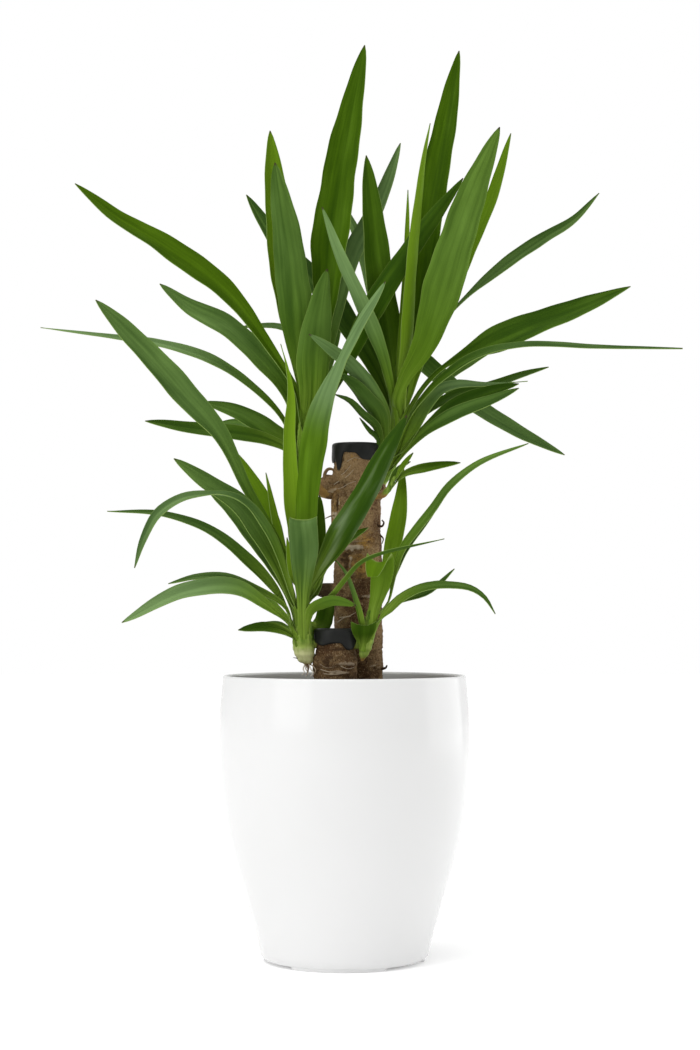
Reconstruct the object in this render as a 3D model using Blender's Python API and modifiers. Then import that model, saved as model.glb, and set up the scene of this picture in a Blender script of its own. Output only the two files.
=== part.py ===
"""A yucca with two canes in a glossy white pot.

The tall cane carries two leafy heads and a small side shoot. The short cane in front of it carries two more
heads. Each cane has a cap of black wax over its sawn top, and stands in a plain hole in the soil of the pot.
The pot's axis is Z, the pot stands on Z = 0, and -Y is the front.

Sizes are in millimetres until a mesh is made. A place on the plant is written (across, height, depth): where
it shows in the upright plane through the pot's axis when it is seen from the front, and how far behind that
plane it lies along the line of sight.
"""

import math

import bmesh
import bpy
import numpy as np
from mathutils import Matrix, Vector

MM = 0.001
MERGE = 0.0001  # metres
CLEARANCE = 0.3  # between neighbouring solids
EYE_DISTANCE = 1769  # from the pot's axis to the eye of the front view
EYE_HEIGHT = 283
CURVE_DETAIL = 24  # places per point while a smooth line is worked out

# Pot
POT_STEPS = 36
POT_HEIGHT = 226
POT_WALL = 3.2
POT_FLOOR = 8
POT_CORNER = 4  # height of the sloping corner over the floor inside
LIP_RADIUS = 1.8
FOOT_RADIUS = 64
FOOT_HEIGHT = 2.5
FOOT_BEVEL = 0.5
FOOT_GAP_WIDTH = 54
FOOT_GAP_DEPTH = 7
FOOT_GAP_MIDDLES = (56, 176, 296)  # degrees round from the front, to the right
# The outer side from under the lip down to the foot, as (radius, height)
POT_SIDE = [(97.2, 222), (100.4, 184), (99.2, 142), (93, 98), (78, 46), (70.2, 20), (66.5, 5)]
POT_SIDE_ROWS = 9

# Soil
SOIL_LEVEL = 203
SOIL_DOME = 5
SOIL_SHOULDER = (55, 3)  # radius, and how far it stands over the soil's edge

# Canes: the foot and the top of each one's middle line, as (across, depth)
CANE_STEPS = 16
CANE_BOTTOM = 118
CANE_FOOT_BEVEL = 3
CANE_TOP_BEVEL = 1.5
RING_PITCH = 17  # between the scars of old leaf rings
RING_HEIGHT = 0.7
RING_FALL = 4
TALL_CANE = {"radius": 19, "foot": (12.5, 14), "top": (9.5, 14), "height": 410}
SHORT_CANE = {"radius": 16.4, "foot": (-6, -20), "top": (-7, -20), "height": 261}
NECK = 1  # how much narrower a cane is under its wax
NECK_HEIGHT = 24
TALL_KNOTS = [  # growth knots on the tall cane: place, and half sizes along X, Y and Z
    ((-11, 377, 14), (8, 8, 11)),
    ((27, 373, 11), (6.5, 10, 8)),
]
KNOT_STEPS = (10, 7)  # round a knot, and from end to end
STUB_FROM, STUB_TO, STUB_RADIUS = (2, 293, 8), (-22, 294, 6), 6

# Wax: how far the skirt reaches down from the top, and its drips, each as degrees round from the front to the
# right, drop and spread
WAX_SIDE = 1.5
WAX_TOP = 2.4
WAX_BEVEL = (2.2, 0.4)  # how far the top's edge lies in and down
WAX_SHOULDER = 1
WAX_EDGE_BAND = 0.5  # vertices this close to the skirt's even edge hang down with the drips
TALL_WAX = {"skirt": 10, "drips": [(-50, 9, 13), (-95, 4, 30), (25, 5, 24), (120, 6, 25), (200, 4, 35)]}
SHORT_WAX = {"skirt": 9, "drips": [(38, 10, 16), (-30, 2, 18), (110, 4, 25), (180, 5, 30)]}

# Leaves
BLADE_THICKNESS = 0.8
BLADE_BASE = 0.42  # of the full width, where the blade leaves the shoot
BLADE_TIP = 1.4  # width of the last row
BLADE_FULL_FROM = 0.45  # of the length, where the full width is reached
TIP_FALL, TIP_ROUNDING = 4, 0.7  # powers that shape the narrowing towards the tip
ROW_LENGTH = 36
LEAST_ROWS = 4
CHANNEL = 0.13  # how deep the midrib lies, as a share of the width
ROOT_BLEND = 0.25  # of the length, over which a blade turns from its hold on the shoot
OPPOSED = -0.2  # a blade whose hold points away from its upper face more than this doesn't turn
LEAN_HEIGHT = 200  # over a shoot's top, the place that its leaves' upper faces lean towards
SHOOT_PLACES = 20

# A shoot's middle line as (across, height, depth, radius), from inside the cane to its top
UPPER_LEFT_SHOOT = [
    (-4, 374, 14, 7),
    (-19, 384, 13, 8),
    (-27, 400, 11, 8.5),
    (-29, 420, 9, 8),
    (-28, 448, 8, 5),
]
UPPER_RIGHT_SHOOT = [
    (20, 370, 17, 6),
    (33, 384, 19, 7.5),
    (41, 400, 18, 8.5),
    (45, 420, 16, 8),
    (46, 448, 14, 5),
]
LOWER_LEFT_SHOOT = [
    (-16, 240, -20, 7.5),
    (-30, 242, -22, 9.5),
    (-34.5, 253, -23, 8),
    (-34, 272, -24, 7.5),
    (-32, 300, -25, 5),
]
LOWER_RIGHT_SHOOT = [
    (4, 240, -22, 4),
    (12, 243, -24, 5),
    (17, 253, -25, 5.5),
    (21, 268, -25, 5),
    (25, 290, -25, 3),
]
SIDE_SHOOT = [(24, 369, 4, 3.5), (32, 373, 1, 4), (37, 379, -3, 3.5), (41, 386, -6, 2)]

# Each leaf: its name, how far up the shoot it grows, its full width, how far its upper face is turned away
# from the viewer at even steps from base to tip in degrees, and its middle line from the shoot to the tip
UPPER_LEFT_LEAVES = [
    ("outer_left", 0.55, 22, (30, 35, 35, 40),
     [(-44, 458, -4), (-84, 518, -18), (-148, 574, -36), (-216, 620, -50)]),
    ("mid_left", 0.5, 20, (40, 30, 25),
     [(-44, 446, 12), (-68, 478, 20), (-96, 502, 30), (-147, 539, 45)]),
    ("long_left", 0.4, 14, (50, 50, 55),
     [(-50, 430, 18), (-76, 458, 30), (-108, 482, 45), (-178, 498, 60), (-244, 505, 70)]),
    ("low_left_back", 0.35, 16, (50, 35, 35),
     [(-44, 414, 12), (-60, 426, 14), (-84, 440, 22), (-113, 447, 30)]),
    ("low_left", 0.25, 14, (50, 40, 40),
     [(-44, 408, 4), (-64, 418, 0), (-92, 424, -4), (-124, 428, -8), (-159, 430, -12)]),
    ("broad_upright", 0.8, 31, (160, 170, 175),
     [(-36, 458, -2), (-42, 502, -8), (-46, 562, -12), (-57, 638, -16)]),
    ("young_upright", 0.95, 25, (20, 10, 10),
     [(-37, 446, 12), (-48, 526, 12), (-54, 590, 10), (-60, 663, 8)]),
    ("front_upright", 0.85, 29, (170, 170, 160),
     [(-26, 446, -14), (-24, 486, -20), (-20, 520, -22), (-14, 552, -22)]),
    ("tallest", 0.9, 31, (10, 15, 20),
     [(-23, 446, 3), (-18, 518, 1), (-10, 582, -1), (2, 658, -6), (16, 734, -12)]),
    ("blue_right", 0.8, 16, (30, 30, 40),
     [(-18, 462, 14), (-8, 518, 17), (6, 566, 18), (27, 610, 18), (44, 651, 16)]),
    ("dark_right", 0.6, 18, (200, 205, 210),
     [(-12, 438, 0), (4, 478, -6), (22, 518, -11), (54, 568, -16), (96, 624, -22)]),
    ("bent_back", 0.6, 9, (40, 40, 40), [(-30, 470, 26), (-36, 496, 44), (-52, 508, 58), (-82, 509, 66)]),
    ("rear_upright", 0.7, 24, (10, 0, 0),
     [(-35, 456, 34), (-42, 498, 72), (-46, 540, 108), (-50, 572, 150)]),
    ("rear_left", 0.5, 17, (20, 20, 20),
     [(-42, 454, 34), (-68, 494, 84), (-102, 534, 130), (-138, 565, 170)]),
    ("rear_low_left", 0.3, 14, (30, 40, 40),
     [(-40, 412, 36), (-60, 420, 78), (-84, 427, 124), (-104, 427, 165)]),
    ("rear_centre", 0.75, 22, (0, 0, 0),
     [(-22, 452, 36), (-17, 506, 74), (-12, 560, 100), (-6, 606, 124)]),
    ("rear_right", 0.3, 20, (0, 20, 40), [(-14, 410, 42), (0, 408, 84), (12, 400, 126), (20, 384, 165)]),
]
UPPER_RIGHT_LEAVES = [
    ("dark_upright", 0.7, 23, (10, 10, 15),
     [(38, 446, 12), (30, 502, 6), (26, 558, 0), (24, 598, -3), (18, 642, -6)]),
    ("blue_left", 0.75, 15, (170, 165, 160),
     [(39, 446, 2), (30, 480, -12), (14, 524, -28), (-4, 564, -38), (-18, 602, -44)]),
    ("folded_upright", 0.9, 15, (140, 130, 130),
     [(46, 454, 2), (51, 502, -12), (56, 570, -27), (61, 634, -34), (68, 670, -38)]),
    ("tall_right", 0.9, 25, (15, 20, 20),
     [(52, 486, 14), (60, 542, 14), (70, 606, 12), (86, 686, 8), (92, 729, 6)]),
    ("far_left", 0.6, 21, (30, 20, 15),
     [(32, 446, 30), (0, 508, 48), (-22, 540, 54), (-50, 576, 60), (-78, 612, 62)]),
    ("hidden_left", 0.65, 14, (30, 30, 30), [(36, 470, 36), (22, 534, 46), (8, 578, 52), (-5, 606, 56)]),
    ("broad_right", 0.85, 32, (175, 170, 165),
     [(54, 450, -4), (66, 492, -22), (90, 568, -46), (106, 616, -60), (124, 665, -74)]),
    ("edge_right", 0.75, 17, (25, 25, 25),
     [(60, 462, 0), (80, 510, -8), (104, 566, -16), (120, 614, -24), (131, 660, -30)]),
    ("thin_young", 1.0, 8, (30, 30, 30), [(45, 478, 4), (48, 534, 1), (49, 582, -2), (50, 616, -3)]),
    ("long_right", 0.6, 15, (35, 60, 75, 30, 30),
     [(64, 470, 24), (84, 510, 32), (112, 542, 42), (160, 570, 56), (204, 613, 66)]),
    ("wide_right", 0.5, 24, (35, 25, 30, 35),
     [(56, 438, 4), (96, 478, -8), (140, 504, -20), (182, 518, -32), (230, 538, -44)]),
    ("farthest_right", 0.45, 12, (60, 55, 60, 65),
     [(76, 457, -12), (104, 483, -24), (139, 492, -38), (200, 490, -58), (272, 489, -74)]),
    ("short_right", 0.4, 11, (40, 40, 40),
     [(62, 436, 20), (88, 450, 28), (116, 458, 34), (140, 467, 38), (163, 473, 40)]),
    ("blue_low_right", 0.4, 17, (30, 30, 40),
     [(53, 428, 4), (67, 444, 0), (86, 457, -2), (110, 458, -4), (144, 464, -4)]),
    ("dark_low_right", 0.3, 16, (30, 30, 35),
     [(52, 414, 4), (72, 434, -8), (92, 448, -14), (113, 455, -18), (128, 456, -22)]),
    ("low_right", 0.25, 13, (40, 40, 40),
     [(52, 408, 0), (68, 423, -16), (92, 435, -24), (116, 446, -30), (139, 457, -34)]),
    ("drooping_right", 0.55, 15, (20, 40, 40),
     [(58, 472, 22), (69, 481, 30), (82, 461, 40), (106, 443, 46), (140, 421, 54), (176, 403, 62)]),
    ("curled_left", 0.4, 14, (150, 150, 150),
     [(30, 432, 2), (20, 456, -14), (5, 475, -30), (-12, 486, -40), (-28, 499, -44)]),
    ("short_left", 0.3, 12, (150, 150, 150),
     [(27, 430, 0), (16, 444, -16), (6, 456, -28), (-5, 464, -34)]),
    ("low_left", 0.2, 8, (150, 150, 150), [(27, 422, 0), (14, 436, -16), (4, 446, -24), (-8, 451, -30)]),
    ("thin_left", 0.12, 6, (150, 150, 150), [(28, 414, 4), (20, 422, -4), (12, 432, -10)]),
    ("crown_tip", 0.95, 7, (30, 30, 30), [(45, 446, -2), (43, 465, -8)]),
    ("rear_right", 0.7, 23, (20, 10, 10), [(54, 452, 38), (66, 494, 78), (80, 540, 114), (95, 588, 150)]),
    ("rear_low_right", 0.4, 18, (30, 30, 30),
     [(60, 443, 44), (92, 474, 92), (124, 496, 136), (152, 509, 172)]),
    ("rear_upright", 0.8, 22, (10, 0, 0), [(50, 468, 42), (56, 520, 70), (64, 572, 92), (72, 622, 108)]),
    ("rear_level", 0.3, 15, (30, 35, 40),
     [(54, 418, 46), (72, 434, 92), (94, 449, 134), (116, 455, 172)]),
    ("rear_centre", 0.6, 20, (0, 0, 0), [(37, 450, 46), (30, 492, 78), (27, 540, 100), (24, 588, 118)]),
    ("rear_low", 0.2, 18, (0, 20, 40), [(36, 404, 44), (31, 396, 80), (25, 374, 112), (18, 342, 136)]),
]
LOWER_LEFT_LEAVES = [
    ("long_left", 0.8, 23, (25, 40, 60, 30, 30),
     [(-48, 318, -32), (-76, 374, -44), (-98, 418, -54), (-156, 490, -66), (-198, 526, -74)]),
    ("mid_left", 0.7, 20, (25, 25, 25),
     [(-48, 290, -38), (-66, 324, -50), (-92, 356, -62), (-116, 376, -72), (-136, 398, -80)]),
    ("arching_left", 0.65, 16, (30, 30, 30, 40),
     [(-52, 306, -48), (-84, 357, -74), (-112, 373, -90), (-142, 362, -104), (-166, 314, -114)]),
    ("thin_left", 0.55, 12, (40, 35, 50),
     [(-52, 290, -28), (-76, 318, -30), (-108, 342, -32), (-146, 355, -34), (-190, 357, -34)]),
    ("short_left", 0.5, 10, (40, 40, 40),
     [(-48, 281, -32), (-72, 298, -42), (-96, 308, -50), (-118, 308, -56), (-141, 300, -60)]),
    ("low_left", 0.45, 16, (40, 30, 30),
     [(-44, 266, -32), (-64, 286, -50), (-90, 299, -66), (-130, 294, -86), (-178, 268, -104)]),
    ("lowest_left", 0.25, 11, (40, 40, 40),
     [(-38, 254, -30), (-48, 264, -38), (-64, 268, -46), (-84, 263, -54)]),
    ("folded_front", 0.75, 25, (180, 180, 180, 180),
     [(-33, 300, -44), (-33, 334, -58), (-33, 348, -61), (-32, 351, -56), (-31, 347, -48)]),
    ("young_upright", 1.0, 11, (20, 20, 20),
     [(-38, 318, -30), (-42, 366, -36), (-44, 414, -40), (-44, 454, -42), (-51, 491, -44)]),
    ("tall_right", 0.95, 25, (190, 185, 200, 240, 215),
     [(-32, 318, -32), (-26, 406, -42), (-16, 446, -48), (4, 494, -54), (33, 542, -58)]),
    ("broad_right", 0.85, 29, (200, 200, 195),
     [(-20, 294, -36), (0, 342, -44), (16, 374, -48), (34, 408, -54), (50, 434, -58)]),
    ("dark_behind", 0.8, 15, (20, 20, 20), [(-21, 290, -26), (-18, 334, -22), (-18, 370, -20)]),
    ("narrow_left", 0.85, 9, (30, 30, 30), [(-48, 318, -22), (-56, 366, -22), (-61, 387, -22)]),
    ("young_tip", 0.9, 6, (20, 20, 20), [(-42, 306, -44), (-46, 336, -54)]),
    ("broad_behind", 0.75, 24, (20, 20, 20),
     [(-44, 292, -22), (-58, 334, -18), (-78, 376, -14), (-104, 420, -12)]),
    ("bent_right", 0.55, 11, (150, 150, 160), [(-27, 281, -38), (-10, 289, -50), (10, 281, -58)]),
    ("thin_right", 0.6, 9, (140, 130, 130),
     [(-26, 282, -44), (-9, 292, -56), (0, 306, -62), (22, 323, -66), (79, 335, -68)]),
    ("dark_low_right", 0.3, 15, (170, 170, 170), [(-24, 262, -40), (-18, 270, -46), (-8, 281, -50)]),
    ("narrow_right", 0.8, 11, (30, 30, 30), [(-16, 296, -27), (4, 334, -20), (19, 344, -18)]),
    ("rear_left", 0.8, 20, (20, 20, 20),
     [(-45, 294, -6), (-58, 332, 24), (-76, 370, 50), (-94, 402, 74)]),
    ("rear_level", 0.6, 17, (20, 30, 30),
     [(-48, 292, -4), (-68, 326, 36), (-92, 355, 76), (-114, 374, 112)]),
    ("rear_low", 0.4, 13, (30, 30, 40),
     [(-42, 266, -4), (-64, 286, 36), (-90, 299, 80), (-118, 297, 120)]),
    ("rear_lowest", 0.25, 13, (30, 40, 40), [(-40, 254, -4), (-54, 262, 26), (-72, 262, 62)]),
    ("rear_upright", 0.9, 16, (10, 10, 10), [(-40, 318, -10), (-48, 356, 8), (-54, 384, 20)]),
]
LOWER_RIGHT_LEAVES = [
    ("folded_over", 0.7, 20, (180, 180, 180, 180),
     [(24, 290, -30), (28, 312, -38), (29, 318, -41), (26, 313, -45), (22, 304, -46)]),
    ("curved_upright", 0.85, 17, (30, 20, 20),
     [(28, 288, -22), (38, 326, -16), (45, 360, -6), (47, 386, 8)]),
    ("long_right", 0.8, 13, (40, 30, 35),
     [(33, 288, -26), (48, 322, -34), (68, 360, -42), (108, 394, -54), (147, 408, -62)]),
    ("drooping_right", 0.5, 13, (45, 40, 40),
     [(26, 271, -32), (44, 287, -40), (76, 299, -52), (100, 294, -62), (119, 276, -70)]),
    ("short_right", 0.55, 7, (40, 40, 40), [(40, 283, -30), (68, 294, -38), (87, 309, -42)]),
    ("blunt_front", 0.25, 20, (180, 180, 180), [(15, 260, -34), (15, 267, -36)]),
    ("thin_left", 0.4, 6, (150, 150, 150),
     [(13, 272, -31), (7, 293, -33), (1, 308, -33), (-8, 319, -32)]),
    ("rear_right", 0.75, 11, (20, 20, 20), [(35, 290, -6), (50, 324, 26), (72, 362, 58), (98, 387, 88)]),
    ("rear_low", 0.45, 10, (30, 40, 40), [(34, 279, -10), (50, 290, 30), (76, 299, 66), (98, 294, 98)]),
]
SIDE_LEAVES = [
    ("long", 0.7, 10, (40, 30, 40), [(48, 390, -10), (68, 395, -16), (92, 396, -20)]),
    ("upright", 0.9, 5, (30, 30, 30), [(47, 394, -10), (55, 404, -14)]),
    ("short", 0.5, 5, (30, 30, 30), [(43, 391, -4), (53, 397, -4)]),
]
BLUNT = {"blunt_front", "folded_front"}  # broken or folded leaves whose end is broad

HEADS = [
    ("upper_left_head", UPPER_LEFT_SHOOT, UPPER_LEFT_LEAVES),
    ("upper_right_head", UPPER_RIGHT_SHOOT, UPPER_RIGHT_LEAVES),
    ("lower_left_head", LOWER_LEFT_SHOOT, LOWER_LEFT_LEAVES),
    ("lower_right_head", LOWER_RIGHT_SHOOT, LOWER_RIGHT_LEAVES),
    ("side_shoot", SIDE_SHOOT, SIDE_LEAVES),
]

# Colours as red, green, blue, with roughness
FINISHES = {
    "white_gloss": ((0.86, 0.86, 0.85), 0.12),
    "potting_soil": ((0.045, 0.03, 0.02), 0.95),
    "bark": ((0.33, 0.21, 0.13), 0.85),
    "black_wax": ((0.012, 0.013, 0.016), 0.4),
    "leaf_green": ((0.07, 0.17, 0.03), 0.4),
}


def clear_scene():
    for thing in list(bpy.data.objects):
        bpy.data.objects.remove(thing, do_unlink=True)


def make_collection(name):
    group = bpy.data.collections.new(name)
    bpy.context.scene.collection.children.link(group)
    return group


def make_finish(name):
    colour, roughness = FINISHES[name]
    finish = bpy.data.materials.new(name)
    finish.use_nodes = True
    shader = finish.node_tree.nodes["Principled BSDF"]
    shader.inputs["Base Color"].default_value = (*colour, 1)
    shader.inputs["Roughness"].default_value = roughness
    shader.inputs["Metallic"].default_value = 0
    return finish


def seen(across, height, depth):
    """The real place, in millimetres, of a place given as it is seen from the front."""
    stretch = (EYE_DISTANCE + depth) / EYE_DISTANCE
    return Vector((across * stretch, depth, EYE_HEIGHT + (height - EYE_HEIGHT) * stretch))


def smooth_path(points, count):
    """Count places, evenly spaced along a smooth curve through the points."""
    points = np.array(points, dtype=float)
    steps = np.linalg.norm(np.diff(points, axis=0), axis=1)
    at = np.concatenate([[0], np.cumsum(np.sqrt(steps))])
    slopes = np.gradient(points, at, axis=0)
    fine = np.linspace(0, at[-1], CURVE_DETAIL * len(points))
    span = np.clip(np.searchsorted(at, fine, side="right") - 1, 0, len(points) - 2)
    width = (at[span + 1] - at[span])[:, None]
    t = (fine - at[span])[:, None] / width
    curve = (
        (2 * t**3 - 3 * t**2 + 1) * points[span]
        + (t**3 - 2 * t**2 + t) * width * slopes[span]
        + (3 * t**2 - 2 * t**3) * points[span + 1]
        + (t**3 - t**2) * width * slopes[span + 1]
    )
    run = np.concatenate([[0], np.cumsum(np.linalg.norm(np.diff(curve, axis=0), axis=1))])
    even = np.linspace(0, run[-1], count)
    return np.stack([np.interp(even, run, curve[:, k]) for k in range(points.shape[1])], axis=1)


def unit(vectors):
    return vectors / np.linalg.norm(vectors, axis=-1, keepdims=True)


def mesh_object(name, mesh, group, finish=None):
    thing = bpy.data.objects.new(name, mesh)
    group.objects.link(thing)
    if finish:
        mesh.materials.clear()
        mesh.materials.append(finish)
    return thing


def settled_mesh(thing):
    """The object's mesh with its modifiers applied and its place in the vertices; the object is removed."""
    bpy.context.view_layer.update()
    evaluated = thing.evaluated_get(bpy.context.evaluated_depsgraph_get())
    mesh = bpy.data.meshes.new_from_object(evaluated)
    mesh.transform(thing.matrix_world)
    bpy.data.objects.remove(thing, do_unlink=True)
    return mesh


def turned(name, profile, steps, group, finish=None):
    """A solid turned round Z from a profile of (radius, height) in millimetres."""
    mesh = bpy.data.meshes.new(name)
    edges = [(k, k + 1) for k in range(len(profile) - 1)]
    mesh.from_pydata([(radius * MM, 0, height * MM) for radius, height in profile], edges, [])
    thing = mesh_object(name, mesh, group, finish)
    screw = thing.modifiers.new("turn", "SCREW")
    screw.steps = steps
    screw.render_steps = steps
    screw.use_merge_vertices = True
    screw.merge_threshold = MERGE
    screw.use_normal_calculate = True
    return thing


def tube(name, places, group):
    """A round stem through places of (across, height, depth, radius)."""
    curve = bpy.data.curves.new(name, "CURVE")
    curve.dimensions = "3D"
    curve.bevel_depth = MM
    curve.bevel_resolution = 2
    curve.use_fill_caps = True
    line = curve.splines.new("POLY")
    line.points.add(len(places) - 1)
    for point, (across, height, depth, radius) in zip(line.points, places):
        point.co = (*(seen(across, height, depth) * MM), 1)
        point.radius = radius
    thing = bpy.data.objects.new(name, curve)
    group.objects.link(thing)
    mesh = settled_mesh(thing)
    weld(mesh)
    return mesh_object(name, mesh, group)


def weld(mesh):
    shape = bmesh.new()
    shape.from_mesh(mesh)
    bmesh.ops.remove_doubles(shape, verts=shape.verts, dist=MERGE)
    bmesh.ops.recalc_face_normals(shape, faces=shape.faces)
    shape.to_mesh(mesh)
    shape.free()


def keep_outer_skin(mesh):
    """Keeps the largest closed skin, which fills sealed hollows and drops loose scraps."""
    shape = bmesh.new()
    shape.from_mesh(mesh)
    left = set(shape.faces)
    skins = []
    while left:
        front = [left.pop()]
        skin = set(front)
        while front:
            near = {other for edge in front.pop().edges for other in edge.link_faces} & left
            left -= near
            skin |= near
            front += near
        skins.append(skin)
    largest = max(skins, key=len)
    bmesh.ops.delete(shape, geom=[face for face in shape.faces if face not in largest], context="FACES")
    shape.to_mesh(mesh)
    shape.free()


def joined(base, group):
    """The base and everything in the group as one solid; the group and its objects are removed.

    Thin blades that cross leave the exact solver's union open, so the manifold solver joins them.
    """
    union = base.modifiers.new("join", "BOOLEAN")
    union.operation = "UNION"
    union.operand_type = "COLLECTION"
    union.collection = group
    union.solver = "MANIFOLD"
    mesh = settled_mesh(base)
    for thing in list(group.objects):
        bpy.data.objects.remove(thing, do_unlink=True)
    bpy.data.collections.remove(group)
    keep_outer_skin(mesh)
    return mesh


def cut_away(thing, cutters, solver="EXACT"):
    for cutter in cutters:
        cut = thing.modifiers.new("cut", "BOOLEAN")
        cut.operation = "DIFFERENCE"
        cut.object = cutter
        cut.solver = solver


def hide_cutter(thing):
    thing.hide_render = True
    thing.display_type = "WIRE"
    return thing


def make_pot(parts, cutters, finish):
    side = [tuple(place) for place in smooth_path(POT_SIDE, POT_SIDE_ROWS)]
    lip_top, lip_middle = POT_HEIGHT, POT_SIDE[0][0] - LIP_RADIUS
    lip = [
        (lip_middle + LIP_RADIUS * math.cos(a), lip_top - LIP_RADIUS + LIP_RADIUS * math.sin(a))
        for a in np.radians((180, 135, 90, 45, 0))
    ]
    inside = [(pot_inside_radius(POT_FLOOR), POT_FLOOR)]
    inside += [
        (radius - POT_WALL, height) for radius, height in reversed(side) if height > POT_FLOOR + POT_CORNER
    ]
    outside = side + [(FOOT_RADIUS, FOOT_HEIGHT), (FOOT_RADIUS - FOOT_BEVEL, 0), (0, 0)]
    pot = turned("pot", [(0, POT_FLOOR), *inside, *lip, *outside], POT_STEPS, parts, finish)
    for number, middle in enumerate(FOOT_GAP_MIDDLES):
        bpy.ops.mesh.primitive_cube_add(size=1)
        gap = bpy.context.object
        gap.name = f"foot_gap_{number}"
        way = math.radians(middle)
        depth = 2 * FOOT_GAP_DEPTH * MM
        gap.data.transform(Matrix.Diagonal((FOOT_GAP_WIDTH * MM, depth, 2 * FOOT_HEIGHT * MM, 1)))
        gap.location = (math.sin(way) * FOOT_RADIUS * MM, -math.cos(way) * FOOT_RADIUS * MM, 0)
        gap.rotation_euler.z = way
        for home in list(gap.users_collection):
            home.objects.unlink(gap)
        cutters.objects.link(hide_cutter(gap))
        cut_away(pot, [gap])
    return pot


def pot_inside_radius(height):
    side = smooth_path(POT_SIDE, POT_SIDE_ROWS)[::-1]
    return float(np.interp(height, side[:, 1], side[:, 0])) - POT_WALL


def make_soil(parts, hole_cutters, finish):
    wall = [
        (radius - POT_WALL - CLEARANCE, height)
        for radius, height in smooth_path(POT_SIDE, POT_SIDE_ROWS)
        if POT_FLOOR + POT_CORNER < height < SOIL_LEVEL
    ]
    top = [(0, SOIL_LEVEL + SOIL_DOME), (SOIL_SHOULDER[0], SOIL_LEVEL + SOIL_SHOULDER[1])]
    edge = (pot_inside_radius(SOIL_LEVEL) - CLEARANCE, SOIL_LEVEL)
    floor = POT_FLOOR + CLEARANCE
    corner = (pot_inside_radius(floor) - CLEARANCE, floor)
    soil = turned("soil", [*top, edge, *wall, corner, (0, floor)], POT_STEPS, parts, finish)
    cut_away(soil, hole_cutters)
    return soil


def cane_profile(cane, grow):
    """A ringed cane from its top down, with a narrower neck for the wax."""
    top, radius = cane["height"] + grow, cane["radius"] + grow
    neck_end = cane["height"] - NECK_HEIGHT
    neck = radius - NECK
    rows = [(0, top), (neck - CANE_TOP_BEVEL, top), (neck, top - CANE_TOP_BEVEL)]
    rows.append((neck, neck_end + RING_FALL))
    height = neck_end
    while height > SOIL_LEVEL - RING_PITCH:
        rows += [(radius + RING_HEIGHT, height), (radius, height - RING_FALL)]
        height -= RING_PITCH
    foot = CANE_BOTTOM - grow
    return rows + [(radius, CANE_BOTTOM + CANE_FOOT_BEVEL), (radius - CANE_FOOT_BEVEL, foot), (0, foot)]


def lean_cane(thing, cane):
    """Stands a turned piece on the cane's sloping middle line."""
    foot = Vector((*cane["foot"], CANE_BOTTOM))
    top = Vector((*cane["top"], cane["height"]))
    slope = (top - foot) / (top.z - foot.z)
    shear = Matrix.Identity(4)
    shear[0][2] = slope.x
    shear[1][2] = slope.y
    shear[0][3] = (foot.x - slope.x * foot.z) * MM
    shear[1][3] = (foot.y - slope.y * foot.z) * MM
    mesh = settled_mesh(thing)
    mesh.transform(shear)
    weld(mesh)
    return mesh


def make_cane(name, cane, extras, group, finish, grow=0.0):
    """A cane with its knots and stub. With grow it is slightly larger, to cut its neighbours clear of it."""
    stem = turned(name, cane_profile(cane, grow), CANE_STEPS, group)
    mesh = lean_cane(stem, cane)
    thing = mesh_object(name, mesh, group, finish)
    if extras:
        knots = make_collection(f"{name}_knots")
        for number, (place, half_sizes) in enumerate(TALL_KNOTS):
            knot = bmesh.new()
            bmesh.ops.create_uvsphere(knot, u_segments=KNOT_STEPS[0], v_segments=KNOT_STEPS[1], radius=1)
            bmesh.ops.scale(knot, vec=[(half + grow) * MM for half in half_sizes], verts=knot.verts)
            bmesh.ops.translate(knot, vec=seen(*place) * MM, verts=knot.verts)
            knot_mesh = bpy.data.meshes.new(f"{name}_knot_{number}")
            knot.to_mesh(knot_mesh)
            knot.free()
            mesh_object(knot_mesh.name, knot_mesh, knots)
        tip = [*STUB_TO, STUB_RADIUS + grow]
        tip[0] -= grow
        tube(f"{name}_stub", [(*STUB_FROM, STUB_RADIUS + grow), tuple(tip)], knots)
        thing = mesh_object(name, joined(thing, knots), group, finish)
    return thing


def skirt_drop(angle, wax):
    """How far the wax skirt hangs below its even edge at an angle from the front, in degrees."""
    drop = 0.0
    for middle, length, spread in wax["drips"]:
        away = (angle - middle + 180) % 360 - 180
        drop += length * math.exp(-((away / spread) ** 2))
    return drop


def make_wax(name, cane, wax, group, finish, grow=0.0):
    inner = cane["radius"] - NECK + CLEARANCE
    outer = inner + WAX_SIDE + grow
    under, top = cane["height"] + CLEARANCE, cane["height"] + CLEARANCE + WAX_TOP + grow
    edge = cane["height"] - wax["skirt"]
    if grow:
        inside = [(0, edge - grow)]
    else:
        inside = [(inner, edge), (inner, under - CANE_TOP_BEVEL), (inner - CANE_TOP_BEVEL, under), (0, under)]
    rim = (outer - WAX_BEVEL[0], top - WAX_BEVEL[1])
    outside = [(0, top), rim, (outer, under - WAX_SHOULDER), (outer, edge - grow)]
    mesh = lean_cane(turned(name, outside + inside, CANE_STEPS, group), cane)
    middle = Vector((*cane["top"], 0)) * MM
    for vertex in mesh.vertices:
        if vertex.co.z < (edge + WAX_EDGE_BAND) * MM:
            out = vertex.co - middle
            angle = math.degrees(math.atan2(out.x, -out.y))
            vertex.co.z -= skirt_drop(angle, wax) * MM
    return mesh_object(name, mesh, group, finish)


def blade_width(share, width, blunt):
    """Full width at a share of the length: narrow at the shoot, broad past the middle, sharp at the tip."""
    base = np.minimum(share / BLADE_FULL_FROM, 1)
    base = BLADE_BASE + (1 - BLADE_BASE) * base * base * (3 - 2 * base)
    if blunt:
        return width * base
    return np.maximum(width * base * (1 - share**TIP_FALL) ** TIP_ROUNDING, BLADE_TIP)


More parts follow.
